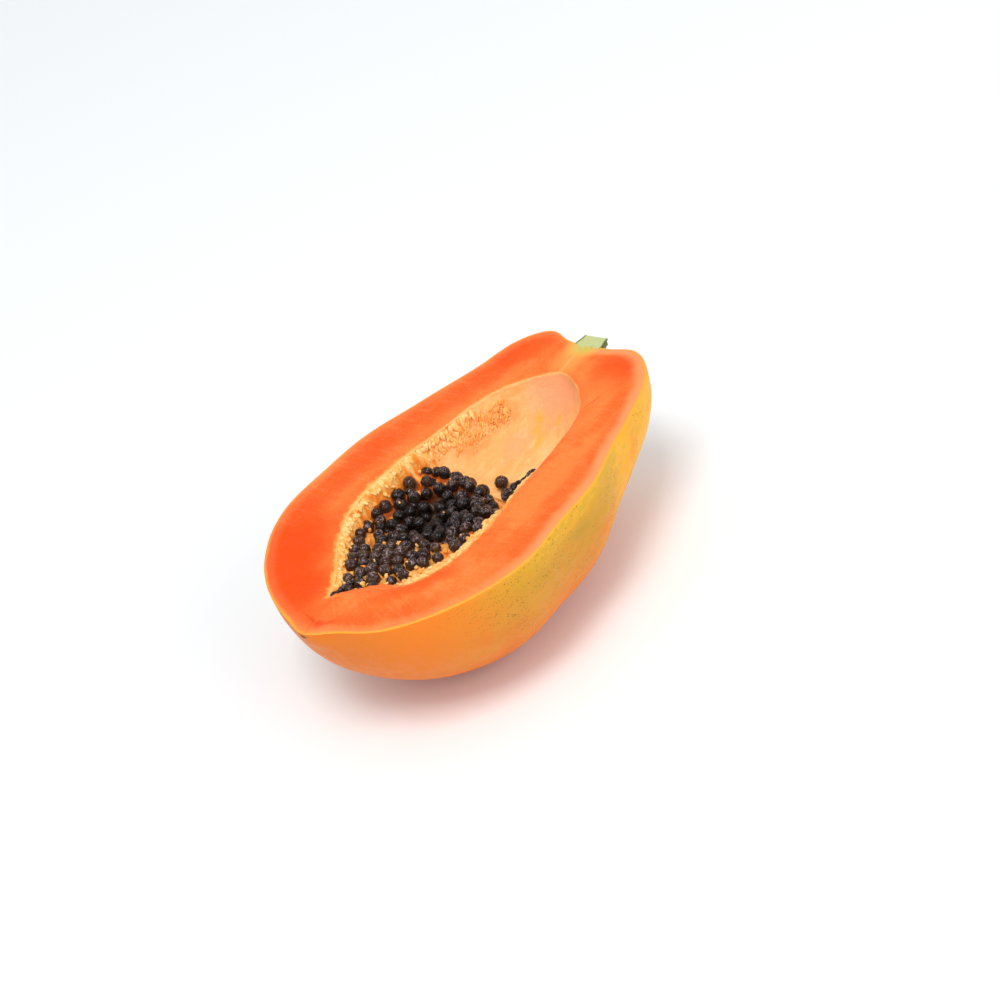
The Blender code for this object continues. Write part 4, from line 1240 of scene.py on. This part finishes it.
@dataclass
class SeedBed:
    """The heap of seeds and the pulp between and round them."""

    scatter: BallScatter
    coat: bpy.types.Material
    fibre: bpy.types.Material
    seed_count: int = 106
    radius: float = 0.0029
    radius_spread: float = 0.00035
    wall_gap: float = 0.0007
    spacing: float = 1.03
    tries: int = 14
    rounds: int = 140
    share: float = 0.28
    under_count: int = 80
    under_drop: float = 0.0034
    under_share: float = 0.16
    steps_along: int = 200
    steps_across: int = 130
    flattening: tuple[tuple[float, float], ...] = ((0.92, 1.03), (0.84, 0.96), (0.80, 0.94))
    wrinkles: tuple[float, float] = (0.00030, 0.0018)
    rim_shreds: tuple[tuple[float, ...], ...] = (
        (-0.0040, -0.0290, 0.0017, 0.0010, 50), (-0.0018, -0.0282, 0.0018, 0.0009, 20),
        (0.0004, -0.0287, 0.0014, 0.0009, -30), (0.0036, -0.0284, 0.0023, 0.0014, 24),
        (0.0062, -0.0288, 0.0016, 0.0008, -16), (0.0098, -0.0294, 0.0017, 0.0004, -8),
        (0.0137, -0.0302, 0.0024, 0.0010, -14))
    rim_shred_drop: float = 0.0012
    tip_shreds: int = 9
    tip_shreds_from: Spot = (-0.0782, 0.0060, -0.0014)
    tip_shreds_to: Spot = (-0.0650, 0.0032, -0.0030)
    crumb_count: int = 60
    crumbs_from: float = -0.074
    crumbs_to: float = 0.002
    crumb_dip_share: float = 0.35
    crumb_small: Spot = (0.0007, 0.0005, 0.0005)
    crumb_large: Spot = (0.0016, 0.0010, 0.0009)
    speck_small: Spot = (0.0004, 0.0003, 0.0002)
    speck_large: Spot = (0.0010, 0.0005, 0.0004)
    crumb_wrinkles: tuple[float, float] = (0.00020, 0.0009)
    crumb_ceiling: float = -0.0016
    far_strip: float = 0.0036
    near_strip_extra: float = 0.0012
    narrow_strip: float = 0.0013
    sag: float = 0.0014
    dip_sag: float = 0.0030
    top_rough: float = 0.0007
    rim_rough: float = 0.0006
    near_top: float = -0.0009
    near_fall: float = 0.26
    far_top: float = -0.0011
    far_fall: float = 0.38
    tongue_rough: float = 0.0003
    ceiling: float = -0.0006
    tuck: float = 0.0012
    overhang: float = 0.0003
    lining: BVHTree = field(init=False)
    places: np.ndarray = field(init=False)

    def __post_init__(self) -> None:
        """Read the model's own lining, which the seeds must clear."""
        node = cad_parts["fruit_half"]
        points = [node.matrix_world @ v.co - Vector(SHIFT) for v in node.data.vertices]
        self.lining = BVHTree.FromPolygons(points, [tuple(p.vertices) for p in node.data.polygons])

    def _hold(self, place: np.ndarray, radius: float, drop: float) -> Vector:
        """Keep a seed on the heap and clear of the lining."""
        x = min(max(place[0], HEAP.start_x), HEAP.seeds_end_x + HEAP.lean(place[1]))
        _, middle, half, depth = (float(v) for v in FORM.section(FORM.walk_to(np.array(x))))
        far = max(half - HEAP.bare_far, 0.0)
        near = max(half - float(HEAP.bare_strip(x)), 0.0)
        y = min(max(place[1], middle - max(near - radius, 0.0)), middle + max(far - radius, 0.0))
        centre = Vector((x, y, max(float(HEAP.height(x, y)) - drop, -depth)))
        inward = Vector((x, middle, centre.z / 2)) - centre
        for _ in range(4):
            nearest, _, _, distance = self.lining.find_nearest(centre)
            outside = (nearest - centre).dot(inward) > 0
            need = radius + self.wall_gap - (-distance if outside else distance)
            if need <= 0:
                break
            away = (nearest - centre) if outside else (centre - nearest)
            centre += away.normalized() * need
        return centre

    def _settle(self, rng: np.random.Generator, count: int, drop: float) -> tuple[np.ndarray, np.ndarray]:
        """Spread seeds over the heap, then push them apart until they just touch."""
        radii = self.radius + self.radius_spread * rng.uniform(-1, 1, count)
        settled: list[Vector] = []
        for radius in radii:
            best, best_room = None, -1.0
            for _ in range(self.tries):
                x = rng.uniform(HEAP.start_x, HEAP.seeds_end_x + HEAP.slant**2 / (4 * HEAP.bend))
                _, middle, half, _ = (float(v) for v in FORM.section(FORM.walk_to(np.array(x))))
                place = self._hold((x, middle + half * rng.uniform(-1, 1)), radius, drop)
                room = min(((place - other).length for other in settled), default=1.0)
                if room > best_room:
                    best, best_room = place, room
            settled.append(best)
        places = np.array(settled)
        wanted = self.spacing * (radii[:, None] + radii[None, :])
        for _ in range(self.rounds):
            apart = places[:, None, :] - places[None, :, :]
            distance = np.sqrt((apart**2).sum(axis=2)) + 1e-9
            press = np.clip(wanted - distance, 0.0, None)
            np.fill_diagonal(press, 0.0)
            places += self.share * (apart / distance[:, :, None] * press[:, :, None]).sum(axis=1)
            for i in range(count):
                places[i] = self._hold(places[i], radii[i], drop)
        return places, radii

    def build(self) -> list[bpy.types.Object]:
        """Make the two layers of seeds, the shreds of dried skin, the pulp and its crumbs."""
        rng = np.random.default_rng(11)
        self.places, radii = self._settle(rng, self.seed_count, 0.0)
        spots, sizes = self._settle(np.random.default_rng(29), self.under_count, self.under_drop)
        deep = HEAP.dip_share(spots[:, 0], spots[:, 1]) > self.under_share
        made = []
        made.append(self._layer(rng, "seeds_on_top", self.places, radii, 3))
        made.append(self._layer(rng, "seeds_underneath", spots[deep], sizes[deep], 2))
        made.append(self._dried_skins())
        made.append(self._pulp())
        made.append(self._crumbs(radii))
        return made

    def _layer(self, rng: np.random.Generator, name: str, spots: np.ndarray, radii: np.ndarray, fineness: int
               ) -> bpy.types.Object:
        """Make one layer of seeds, each flattened and turned its own way, with painted shade that darkens
        them in the dip.
        """
        count = len(spots)
        shares = [rng.uniform(low, high, count) for low, high in self.flattening]
        turns = rng.uniform(-math.pi, math.pi, (count, 3))
        # Painted shade: the tones fall towards black in the middle of the heap's dip.
        tones = rng.uniform(0, 1, count) * (1 - HEAP.dip_share(spots[:, 0], spots[:, 1]))
        # Lighter towards the blossom end: browner coats, with more of the painted reflection and painted
        # highlights.
        tones = tones + 0.25 * smooth_step(-0.020, -0.045, spots[:, 0])
        return self.scatter.grow(name, spots, radii[:, None] * np.column_stack(shares), turns, tones,
                                 fineness, self.wrinkles, self.coat)

    def _dried_skins(self) -> bpy.types.Object:
        """Small dark shreds of seed skin: along the near rim, and in the cavity's pointed end."""
        rng = np.random.default_rng(41)
        places, sizes, turns = [], [], []
        for x, y, length, width, turn in self.rim_shreds:
            places.append((x, y, -self.rim_shred_drop))
            sizes.append((length, width, width * 0.7))
            turns.append((0.0, 0.0, math.radians(turn)))
        for share in np.linspace(0, 1, self.tip_shreds):
            along = np.array(self.tip_shreds_from) * (1 - share) + np.array(self.tip_shreds_to) * share
            places.append(along + rng.normal(0, 0.0004, 3) * (1, 1, 0.4))
            sizes.append((rng.uniform(0.0013, 0.0021), rng.uniform(0.0007, 0.0012), 0.0008))
            turns.append((rng.uniform(-0.4, 0.4), rng.uniform(-0.2, 0.2), rng.uniform(-0.6, 0.2)))
        return self.scatter.grow("dried_seed_skins", np.array(places), np.array(sizes), np.array(turns),
                                 rng.uniform(0.1, 0.6, len(places)), 3, (0.00035, 0.0013), self.coat)

    def _crumbs(self, radii: np.ndarray) -> bpy.types.Object:
        """Golden crumbs of pulp between the seeds, and a few on them, at the blossom side."""
        rng = np.random.default_rng(53)
        places, sizes = [], []
        while len(places) < self.crumb_count:
            x = rng.uniform(self.crumbs_from, self.crumbs_to)
            _, middle, half, _ = (float(v) for v in FORM.section(FORM.walk_to(np.array(x))))
            y = middle + half * rng.uniform(-0.95, 0.95)
            gap = np.hypot(self.places[:, 0] - x, self.places[:, 1] - y)
            nearest = int(gap.argmin())
            in_dip = float(HEAP.dip_share(x, y)) > self.crumb_dip_share
            under_seed = gap[nearest] < radii[nearest] * 0.95
            if in_dip or under_seed or rng.uniform() > 0.15 + smooth_step(-0.020, -0.050, x):
                continue
            places.append((x, y, float(HEAP.height(x, y)) + rng.uniform(-0.0006, 0.0008)))
            sizes.append(rng.uniform(self.crumb_small, self.crumb_large))
        for i in rng.choice(len(radii), self.crumb_count // 5, replace=False):
            lean = rng.uniform(-0.5, 0.5, 2)
            up = np.array((*lean, math.sqrt(1 - float(lean @ lean))))
            places.append(self.places[i] + up * radii[i] * 0.92)
            sizes.append(rng.uniform(self.speck_small, self.speck_large))
        places = np.array(places)
        places[:, 2] = np.minimum(places[:, 2], self.crumb_ceiling)
        turns = rng.uniform(-math.pi, math.pi, (len(places), 3))
        return self.scatter.grow("pulp_crumbs", places, np.array(sizes), turns,
                                 rng.uniform(0.0, 0.6, len(places)), 2, self.crumb_wrinkles, self.fibre)

    def top(self, x: np.ndarray, y: np.ndarray) -> dict[str, np.ndarray]:
        """The pulp's surface.

        Args:
            x: places along the fruit.
            y: places across it.

        Returns:
            The heights as "z", and from 0 to 1: how bare the pulp lies, where its ridges are, how deep
            in the dip it is, and where it is a tongue of flesh.
        """
        _, middle, half, depth = FORM.section(FORM.walk_to(x))
        from_near, from_far = y - (middle - half), middle + half - y
        floor = -depth * np.sqrt(np.clip(1 - ((y - middle) / np.maximum(half, 0.0001)) ** 2, 0, 1))
        flat = np.stack((x, y, 0 * x), axis=-1).reshape(-1, 3)
        rough = ripple(flat, 0.0030, 3, 3.0).reshape(x.shape)
        comb = ripple(flat * (1.0, 0.28, 1.0), 0.0020, 2, 7.0).reshape(x.shape)
        edge = 1.0 + 0.5 * ripple(flat * (1.0, 0.12, 1.0), 0.0045, 3, 5.0).reshape(x.shape)
        gap = np.sqrt(((flat[:, None, :2] - self.places[None, :, :2]) ** 2).sum(axis=2)).min(axis=1)
        narrow = smooth_step(-0.020, -0.008, x)
        strip = (HEAP.bare_strip(x) + self.near_strip_extra) * (1 - narrow) + self.narrow_strip * narrow
        near_share = 1 - smooth_step(0.60, 1.20, from_near / (strip * edge))
        near_share = near_share * (1 - smooth_step(0.014, 0.026, x))
        far_share = 1 - smooth_step(0.60, 1.25, from_far / (self.far_strip * edge))
        far_share = far_share * (1 - smooth_step(0.010, 0.022, x))
        dip = HEAP.dip_share(x, y)
        z = HEAP.height(x, y) - self.sag - self.dip_sag * dip + self.top_rough * rough
        z = np.maximum(z, floor - self.tuck)
        for share, top, fall, inwards in ((near_share, self.near_top, self.near_fall, from_near),
                                          (far_share, self.far_top, self.far_fall, from_far)):
            ragged = top - fall * inwards + self.rim_rough * rough + self.rim_rough * comb
            z = z + (np.maximum(ragged, z) - z) * share
        tongue = 1 - smooth_step(-0.0008, 0.0014, y - 0.001 + 1.5 * (x + 0.075))
        tongue = tongue * (1 - smooth_step(-0.0675, -0.0630, x))
        z = z + (np.maximum(self.near_top + self.tongue_rough * rough, z) - z) * tongue
        bare = np.maximum(near_share, smooth_step(0.0032, 0.0056, gap.reshape(x.shape)))
        bare = np.maximum(np.maximum(bare, far_share), 0.62 * smooth_step(-0.014, -0.040, x))
        return {"z": np.minimum(z, self.ceiling), "bare": bare, "dip": dip, "flesh": tongue,
                "ridge": np.clip(0.5 + 0.35 * rough + 0.45 * comb, 0, 1)}

    def _pulp(self) -> bpy.types.Object:
        """The pulp's closed body: its top sags between the seeds and rises, ragged, to the rim."""
        n, m = self.steps_along, self.steps_across
        start = float(FORM.walk_to(np.array(FORM.cavity_start + 0.0004)))
        end = float(FORM.walk_to(np.array(HEAP.foot_x + 0.013)))
        x, middle, half, depth = FORM.section(np.linspace(start, end, n + 1))
        side = np.cos(np.linspace(0, math.pi, m + 1))
        gx = np.repeat(x[:, None], m + 1, axis=1)
        gy = middle[:, None] + (half + self.overhang)[:, None] * side[None, :]
        numbers = self.top(gx, gy)
        z = numbers.pop("z")
        wall = -depth[:, None] * np.sqrt(np.clip(1 - side[None, :] ** 2, 0, 1))
        below = np.minimum(wall - 0.0004, z - 0.0002)
        count = (n + 1) * (m + 1)
        points = np.concatenate((np.stack((gx, gy, z), axis=-1).reshape(-1, 3),
                                 np.stack((gx, gy, below), axis=-1).reshape(-1, 3)))
        faces = []
        for i in range(n):
            for j in range(m):
                a = i * (m + 1) + j
                b, c, d = a + 1, a + m + 2, a + m + 1
                faces += [(a, b, c, d), (count + d, count + c, count + b, count + a)]
        edge = [(i, 0) for i in range(n + 1)] + [(n, j) for j in range(1, m + 1)]
        edge += [(i, m) for i in range(n - 1, -1, -1)] + [(0, j) for j in range(m - 1, 0, -1)]
        ids = [i * (m + 1) + j for i, j in edge]
        for a, b in zip(ids, ids[1:] + ids[:1]):
            faces.append((a, b, count + b, count + a))
        piece = make_piece("pulp_bed", points, faces, [RaggedPulp().material()])
        for name, values in numbers.items():
            write_attribute(piece.data, name, "FLOAT", np.tile(values.ravel(), 2))
        face_outwards(piece)
        return piece


@dataclass
class LooseSeeds:
    """The two seeds beside the heap, each where its model node lies."""

    scatter: BallScatter
    coat: bpy.types.Material
    nodes: tuple[str, ...] = ("loose_seed_1", "loose_seed_2")
    size_share: float = 0.96
    fineness: int = 4
    wrinkles: tuple[float, float] = (0.00016, 0.0016)

    def build(self) -> list[bpy.types.Object]:
        """Make one wrinkled seed for each node."""
        rng = np.random.default_rng(5)
        made = []
        for node in self.nodes:
            low, high = (np.array(corner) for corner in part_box(node))
            half = (high - low) / 2
            place = ((low + high) / 2 - SHIFT)[None, :]
            made.append(self.scatter.grow(f"{node}_finish", place, (half * self.size_share)[None, :],
                                          np.zeros((1, 3)), rng.uniform(0.2, 0.6, 1), self.fineness,
                                          self.wrinkles, self.coat))
        return made


class Seat(Enum):
    """What a row of tufts is rooted in."""

    WALL = "the far wall"
    FAR_PULP = "the pulp along the far rim"
    NEAR_PULP = "the pulp along the near rim"


@dataclass(frozen=True)
class TuftRow:
    """One row of tufts that reach from the cavity's rim towards the seeds."""

    seat: Seat
    count: int
    walk: tuple[float, float]
    below: tuple[float, float]
    length: tuple[float, float]
    width: tuple[float, float]
    tone: tuple[float, float]
    slant: float = 0.25


@dataclass
class RimTufts:
    """Pale fibrous tufts along the cavity's rim, where the seeds' stalks were rooted."""

    scatter: BallScatter
    bed: SeedBed
    fibre: bpy.types.Material
    ceiling: float = -0.0004
    rooted: float = 0.0002
    lift: float = 0.0002
    spread: float = 0.26
    fineness: int = 2
    wrinkles: tuple[float, float] = (0.00025, 0.0016)
    rows: tuple[TuftRow, ...] = (
        TuftRow(Seat.FAR_PULP, 150, (22, 98), (0.0008, 0.0044), (0.0008, 0.0020), (0.0004, 0.0008),
                (0.1, 0.9)),
        TuftRow(Seat.WALL, 40, (88, 127), (0.0024, 0.0044), (0.0013, 0.0027), (0.0006, 0.0011), (0.4, 1.0)),
        TuftRow(Seat.WALL, 34, (86, 122), (0.0056, 0.0084), (0.0010, 0.0022), (0.0005, 0.0009), (0.3, 0.9)),
        TuftRow(Seat.WALL, 24, (94, 116), (0.0088, 0.0110), (0.0010, 0.0018), (0.0004, 0.0007), (0.0, 0.6)),
        TuftRow(Seat.WALL, 90, (112, 140), (0.0045, 0.0150), (0.0010, 0.0021), (0.0003, 0.0005),
                (0.0, 0.5), 1.2),
        TuftRow(Seat.NEAR_PULP, 120, (38, 104), (0.0010, 0.0050), (0.0007, 0.0018), (0.0004, 0.0008),
                (0.2, 1.0)),
        TuftRow(Seat.NEAR_PULP, 70, (38, 62), (0.0050, 0.0120), (0.0008, 0.0020), (0.0004, 0.0008),
                (0.1, 0.9)))

    def build(self) -> bpy.types.Object:
        """Lay the tufts side by side, pointing from the rim into the cavity."""
        rng = np.random.default_rng(17)
        places, sizes, turns, tones = [], [], [], []
        for row in self.rows:
            for i in range(row.count):
                share = (i + rng.uniform(0.0, 1.0)) / row.count
                walk = row.walk[0] + (row.walk[1] - row.walk[0]) * share
                below = rng.uniform(*row.below)
                if row.seat is Seat.WALL:
                    spot, way, inward = self._on_wall(walk, below)
                else:
                    spot, way, inward = self._on_pulp(walk, below, row.seat)
                way = way + np.array((-row.slant, 0, 0)) + rng.normal(0, self.spread, 3)
                way = way / np.linalg.norm(way)
                size = (rng.uniform(*row.length), rng.uniform(*row.width), rng.uniform(*row.width) * 0.8)
                over = spot[2] + abs(way[2]) * size[0] + size[1] - self.ceiling
                if over > 0 and row.seat is Seat.WALL:
                    spot = spot + way * over / abs(way[2])
                elif over > 0:
                    spot = spot + np.array((0, 0, -over))
                places.append(spot)
                sizes.append(size)
                turns.append(euler_of(way, inward))
                tones.append(rng.uniform(*row.tone))
        return self.scatter.grow("rim_tufts", np.array(places), np.array(sizes), np.array(turns),
                                 np.array(tones), self.fineness, self.wrinkles, self.fibre)

    def _on_wall(self, walk: float, below: float) -> tuple[np.ndarray, np.ndarray, np.ndarray]:
        """A place on the far wall, the way down it and the way into the cavity."""
        x, middle, half, _ = (float(v) for v in FORM.section(np.array(walk)))
        turn = math.degrees(below / half)
        spot = FORM.lining(np.array(walk), np.array(turn))
        way = FORM.lining(np.array(walk), np.array(turn + 3)) - spot
        inward = np.array((x, middle, spot[2])) - spot
        inward /= np.linalg.norm(inward)
        return spot + inward * self.lift, way / np.linalg.norm(way), inward

    def _on_pulp(self, walk: float, below: float, seat: Seat) -> tuple[np.ndarray, np.ndarray, np.ndarray]:
        """A place on the bare pulp beside a rim, the way inwards and the way up."""
        x, middle, half, _ = FORM.section(np.array([walk]))
        side = 1.0 if seat is Seat.FAR_PULP else -1.0
        y = middle + side * (half - below)
        z = self.bed.top(x, y)["z"] - self.rooted
        return np.array((x[0], y[0], z[0])), np.array((0.0, -side, -0.40)), np.array((0.0, -0.3 * side, 1.0))


@dataclass
class StalkStub:
    """The halved stub of the stalk, as one closed half rod."""

    form: Profile = Profile((0.0845, 0.0915, 0.0962, 0.0982, 0.1012, 0.1045),
                            (0.0015, 0.0034, 0.0066, 0.0075, 0.0069, 0.0064))
    steps_along: int = 60
    steps_round: int = 48
    ridges: int = 5
    ridge_height: float = 0.0004
    root_sink: float = 0.0009
    end_gap: float = 0.0001
    rough_size: float = 0.003
    rough_share: float = 0.02
    cut_waves: float = 0.00012
    crease_angle: float = 50.0

    def build(self) -> bpy.types.Object:
        """Make the stub with its cut top and its round outside."""
        marks = self.form.marks
        x = np.linspace(marks[0], marks[-1] - self.end_gap, self.steps_along + 1)
        radius = self.form.at(x)
        out = smooth_step(marks[3], marks[4], x)
        turn = np.linspace(0, math.pi, self.steps_round + 1)
        wave = np.cos(2 * self.ridges * turn) - 1
        reach = radius[:, None] + self.ridge_height * out[:, None] * wave[None, :]
        bark = np.stack((np.repeat(x[:, None], len(turn), axis=1), reach * np.cos(turn),
                         -reach * np.sin(turn)), axis=-1)
        rough = ripple(bark.reshape(-1, 3), self.rough_size, 3, 8.0).reshape(bark.shape[:2])
        bark[..., 1:] *= (1 - self.rough_share * np.clip(0.5 + 0.5 * rough, 0, 1))[..., None]
        bark[..., 2] -= (self.root_sink * (1 - smooth_step(marks[1], marks[2], x)))[:, None]
        share = np.linspace(0, 1, self.steps_round + 1)
        top = bark[:, :1] * (1 - share)[None, :, None] + bark[:, -1:] * share[None, :, None]
        top[..., 2] -= self.cut_waves * np.clip(1 + rough[:, ::-1], 0, 2)
        top[:, 0], top[:, -1] = bark[:, 0], bark[:, -1]
        width = self.steps_round + 1
        points = np.concatenate((bark.reshape(-1, 3), top[:, 1:-1].reshape(-1, 3)))
        bark_ids = np.arange(bark.shape[0] * width).reshape(-1, width)
        top_ids = np.empty_like(bark_ids)
        top_ids[:, 0], top_ids[:, -1] = bark_ids[:, 0], bark_ids[:, -1]
        top_ids[:, 1:-1] = bark_ids.size + np.arange(bark.shape[0] * (width - 2)).reshape(-1, width - 2)
        faces = [self._quad(bark_ids, i, j) for i in range(len(x) - 1) for j in range(width - 1)]
        bark_count = len(faces)
        faces += [self._quad(top_ids, i, j) for i in range(len(x) - 1) for j in range(width - 1)]
        ends = [tuple(int(v) for v in (*bark_ids[i], *top_ids[i, -2:0:-1])) for i in (0, -1)]
        cut = StalkWood().cut_material()
        piece = make_piece("stalk_stub", points, faces + ends, [StalkWood().bark_material(), cut])
        slots = [0] * bark_count + [1] * (len(faces) - bark_count) + [0, 0]
        piece.data.polygons.foreach_set("material_index", slots)
        edge = np.zeros(len(points))
        edge[top_ids] = radius[:, None] * (1 - np.abs(1 - 2 * share))[None, :]
        write_attribute(piece.data, "from_bark", "FLOAT", edge)
        face_outwards(piece)
        piece.data.set_sharp_from_angle(angle=math.radians(self.crease_angle))
        return piece

    def _quad(self, ids: np.ndarray, i: int, j: int) -> tuple[int, ...]:
        """One face of a grid of vertex numbers."""
        return tuple(int(v) for v in (ids[i, j], ids[i, j + 1], ids[i + 1, j + 1], ids[i + 1, j]))


@dataclass(frozen=True)
class Studio:
    """A pale floor, soft lamps and the camera."""

    eye: Spot = (-0.6824, -0.8167, 0.6788)
    right: Spot = (0.5824, -0.7565, -0.2976)
    up: Spot = (0.6032, 0.1568, 0.7820)
    back: Spot = (-0.5449, -0.6350, 0.5477)
    lens: float = 108.0
    floor_size: float = 12.0
    floor_tints: tuple[Colour, Colour] = ((0.92, 0.95, 0.97), (0.90, 0.93, 0.95))
    horizon: float = 0.46
    zenith: float = 0.74
    key_lamp: tuple[Spot, float, float] = ((-1.05, -0.80, 2.70), 1.1, 44.0)
    front_lamp: tuple[Spot, float, float] = ((0.0, -2.60, 1.20), 2.0, 28.0)
    lamps_aim: Spot = (0.0, 0.0, 0.03)

    def build(self) -> None:
        """Set up floor, light and camera."""
        self._floor()
        self._sky()
        self._lamp("key_lamp", *self.key_lamp)
        self._lamp("front_lamp", *self.front_lamp)
        self._camera()
        bpy.context.scene.view_settings.view_transform = "Standard"

    def _floor(self) -> None:
        """A plain white floor."""
        half = self.floor_size / 2
        mesh = bpy.data.meshes.new("floor")
        mesh.from_pydata([(-half, -half, 0), (half, -half, 0), (half, half, 0), (-half, half, 0)], [],
                         [(0, 1, 2, 3)])
        made, pen, shader = new_material("floor_white", Gloss(0.2))
        tint = pen.noise(pen.coords(), 0.8, 2.0)
        pen.feed(shader.inputs["Base Color"], pen.mix(tint, *self.floor_tints))
        shader.inputs["Roughness"].default_value = 0.6
        mesh.materials.append(made)
        floor = bpy.data.objects.new("floor", mesh)
        bpy.context.scene.collection.objects.link(floor)

    def _sky(self) -> None:
        """White light from all round, brightest overhead."""
        world = bpy.data.worlds.new("studio_white")
        world.use_nodes = True
        background = world.node_tree.nodes["Background"]
        background.inputs["Color"].default_value = (1.0, 1.0, 1.0, 1.0)
        pen = Pen(world.node_tree)
        way = pen.node("ShaderNodeTexCoord").outputs["Generated"]
        up = pen.node("ShaderNodeSeparateXYZ", {0: way}).outputs["Z"]
        pen.feed(background.inputs["Strength"], pen.ramp(up, 0.0, 1.0, (self.horizon, self.zenith)))
        bpy.context.scene.world = world

    def _lamp(self, name: str, place: Spot, size: float, power: float) -> None:
        """One square lamp, aimed at the fruit."""
        data = bpy.data.lights.new(name, "AREA")
        data.shape = "SQUARE"
        data.size = size
        data.energy = power
        lamp = bpy.data.objects.new(name, data)
        lamp.location = place
        lamp.rotation_euler = (Vector(self.lamps_aim) - Vector(place)).to_track_quat("-Z", "Y").to_euler()
        bpy.context.scene.collection.objects.link(lamp)

    def _camera(self) -> None:
        """The camera at the photograph's viewing angle, leaned as the photograph shows the half."""
        data = bpy.data.cameras.new("camera")
        data.lens = self.lens
        data.sensor_width = 36.0
        data.clip_end = 50.0
        camera = bpy.data.objects.new("camera", data)
        turned = Matrix((self.right, self.up, self.back)).transposed().to_4x4()
        camera.matrix_world = Matrix.Translation(in_model(self.eye)) @ turned
        bpy.context.scene.collection.objects.link(camera)
        bpy.context.scene.camera = camera


def main() -> None:
    """Dress the model piece by piece, then set up the studio."""
    logging.basicConfig(level=logging.INFO, format="%(name)s: %(message)s")
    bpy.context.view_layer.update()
    Studio().build()
    settle_piece(FruitBody().build(), Slot.FLESH, "fruit_half")
    scatter, coat, fibre = BallScatter(), SeedCoat().material(), FibreTufts().material()
    bed = SeedBed(scatter, coat, fibre)
    for piece in bed.build():
        settle_piece(piece, Slot.SEEDS, "seed_cluster")
    for number, piece in enumerate(LooseSeeds(scatter, coat).build(), start=1):
        settle_piece(piece, Slot.SEEDS, f"loose_seed_{number}")
    settle_piece(RimTufts(scatter, bed, fibre).build(), Slot.FLESH, "fruit_half")
    settle_piece(StalkStub().build(), Slot.STEM, "stem_stub")


if __name__ == "__main__":
    main()
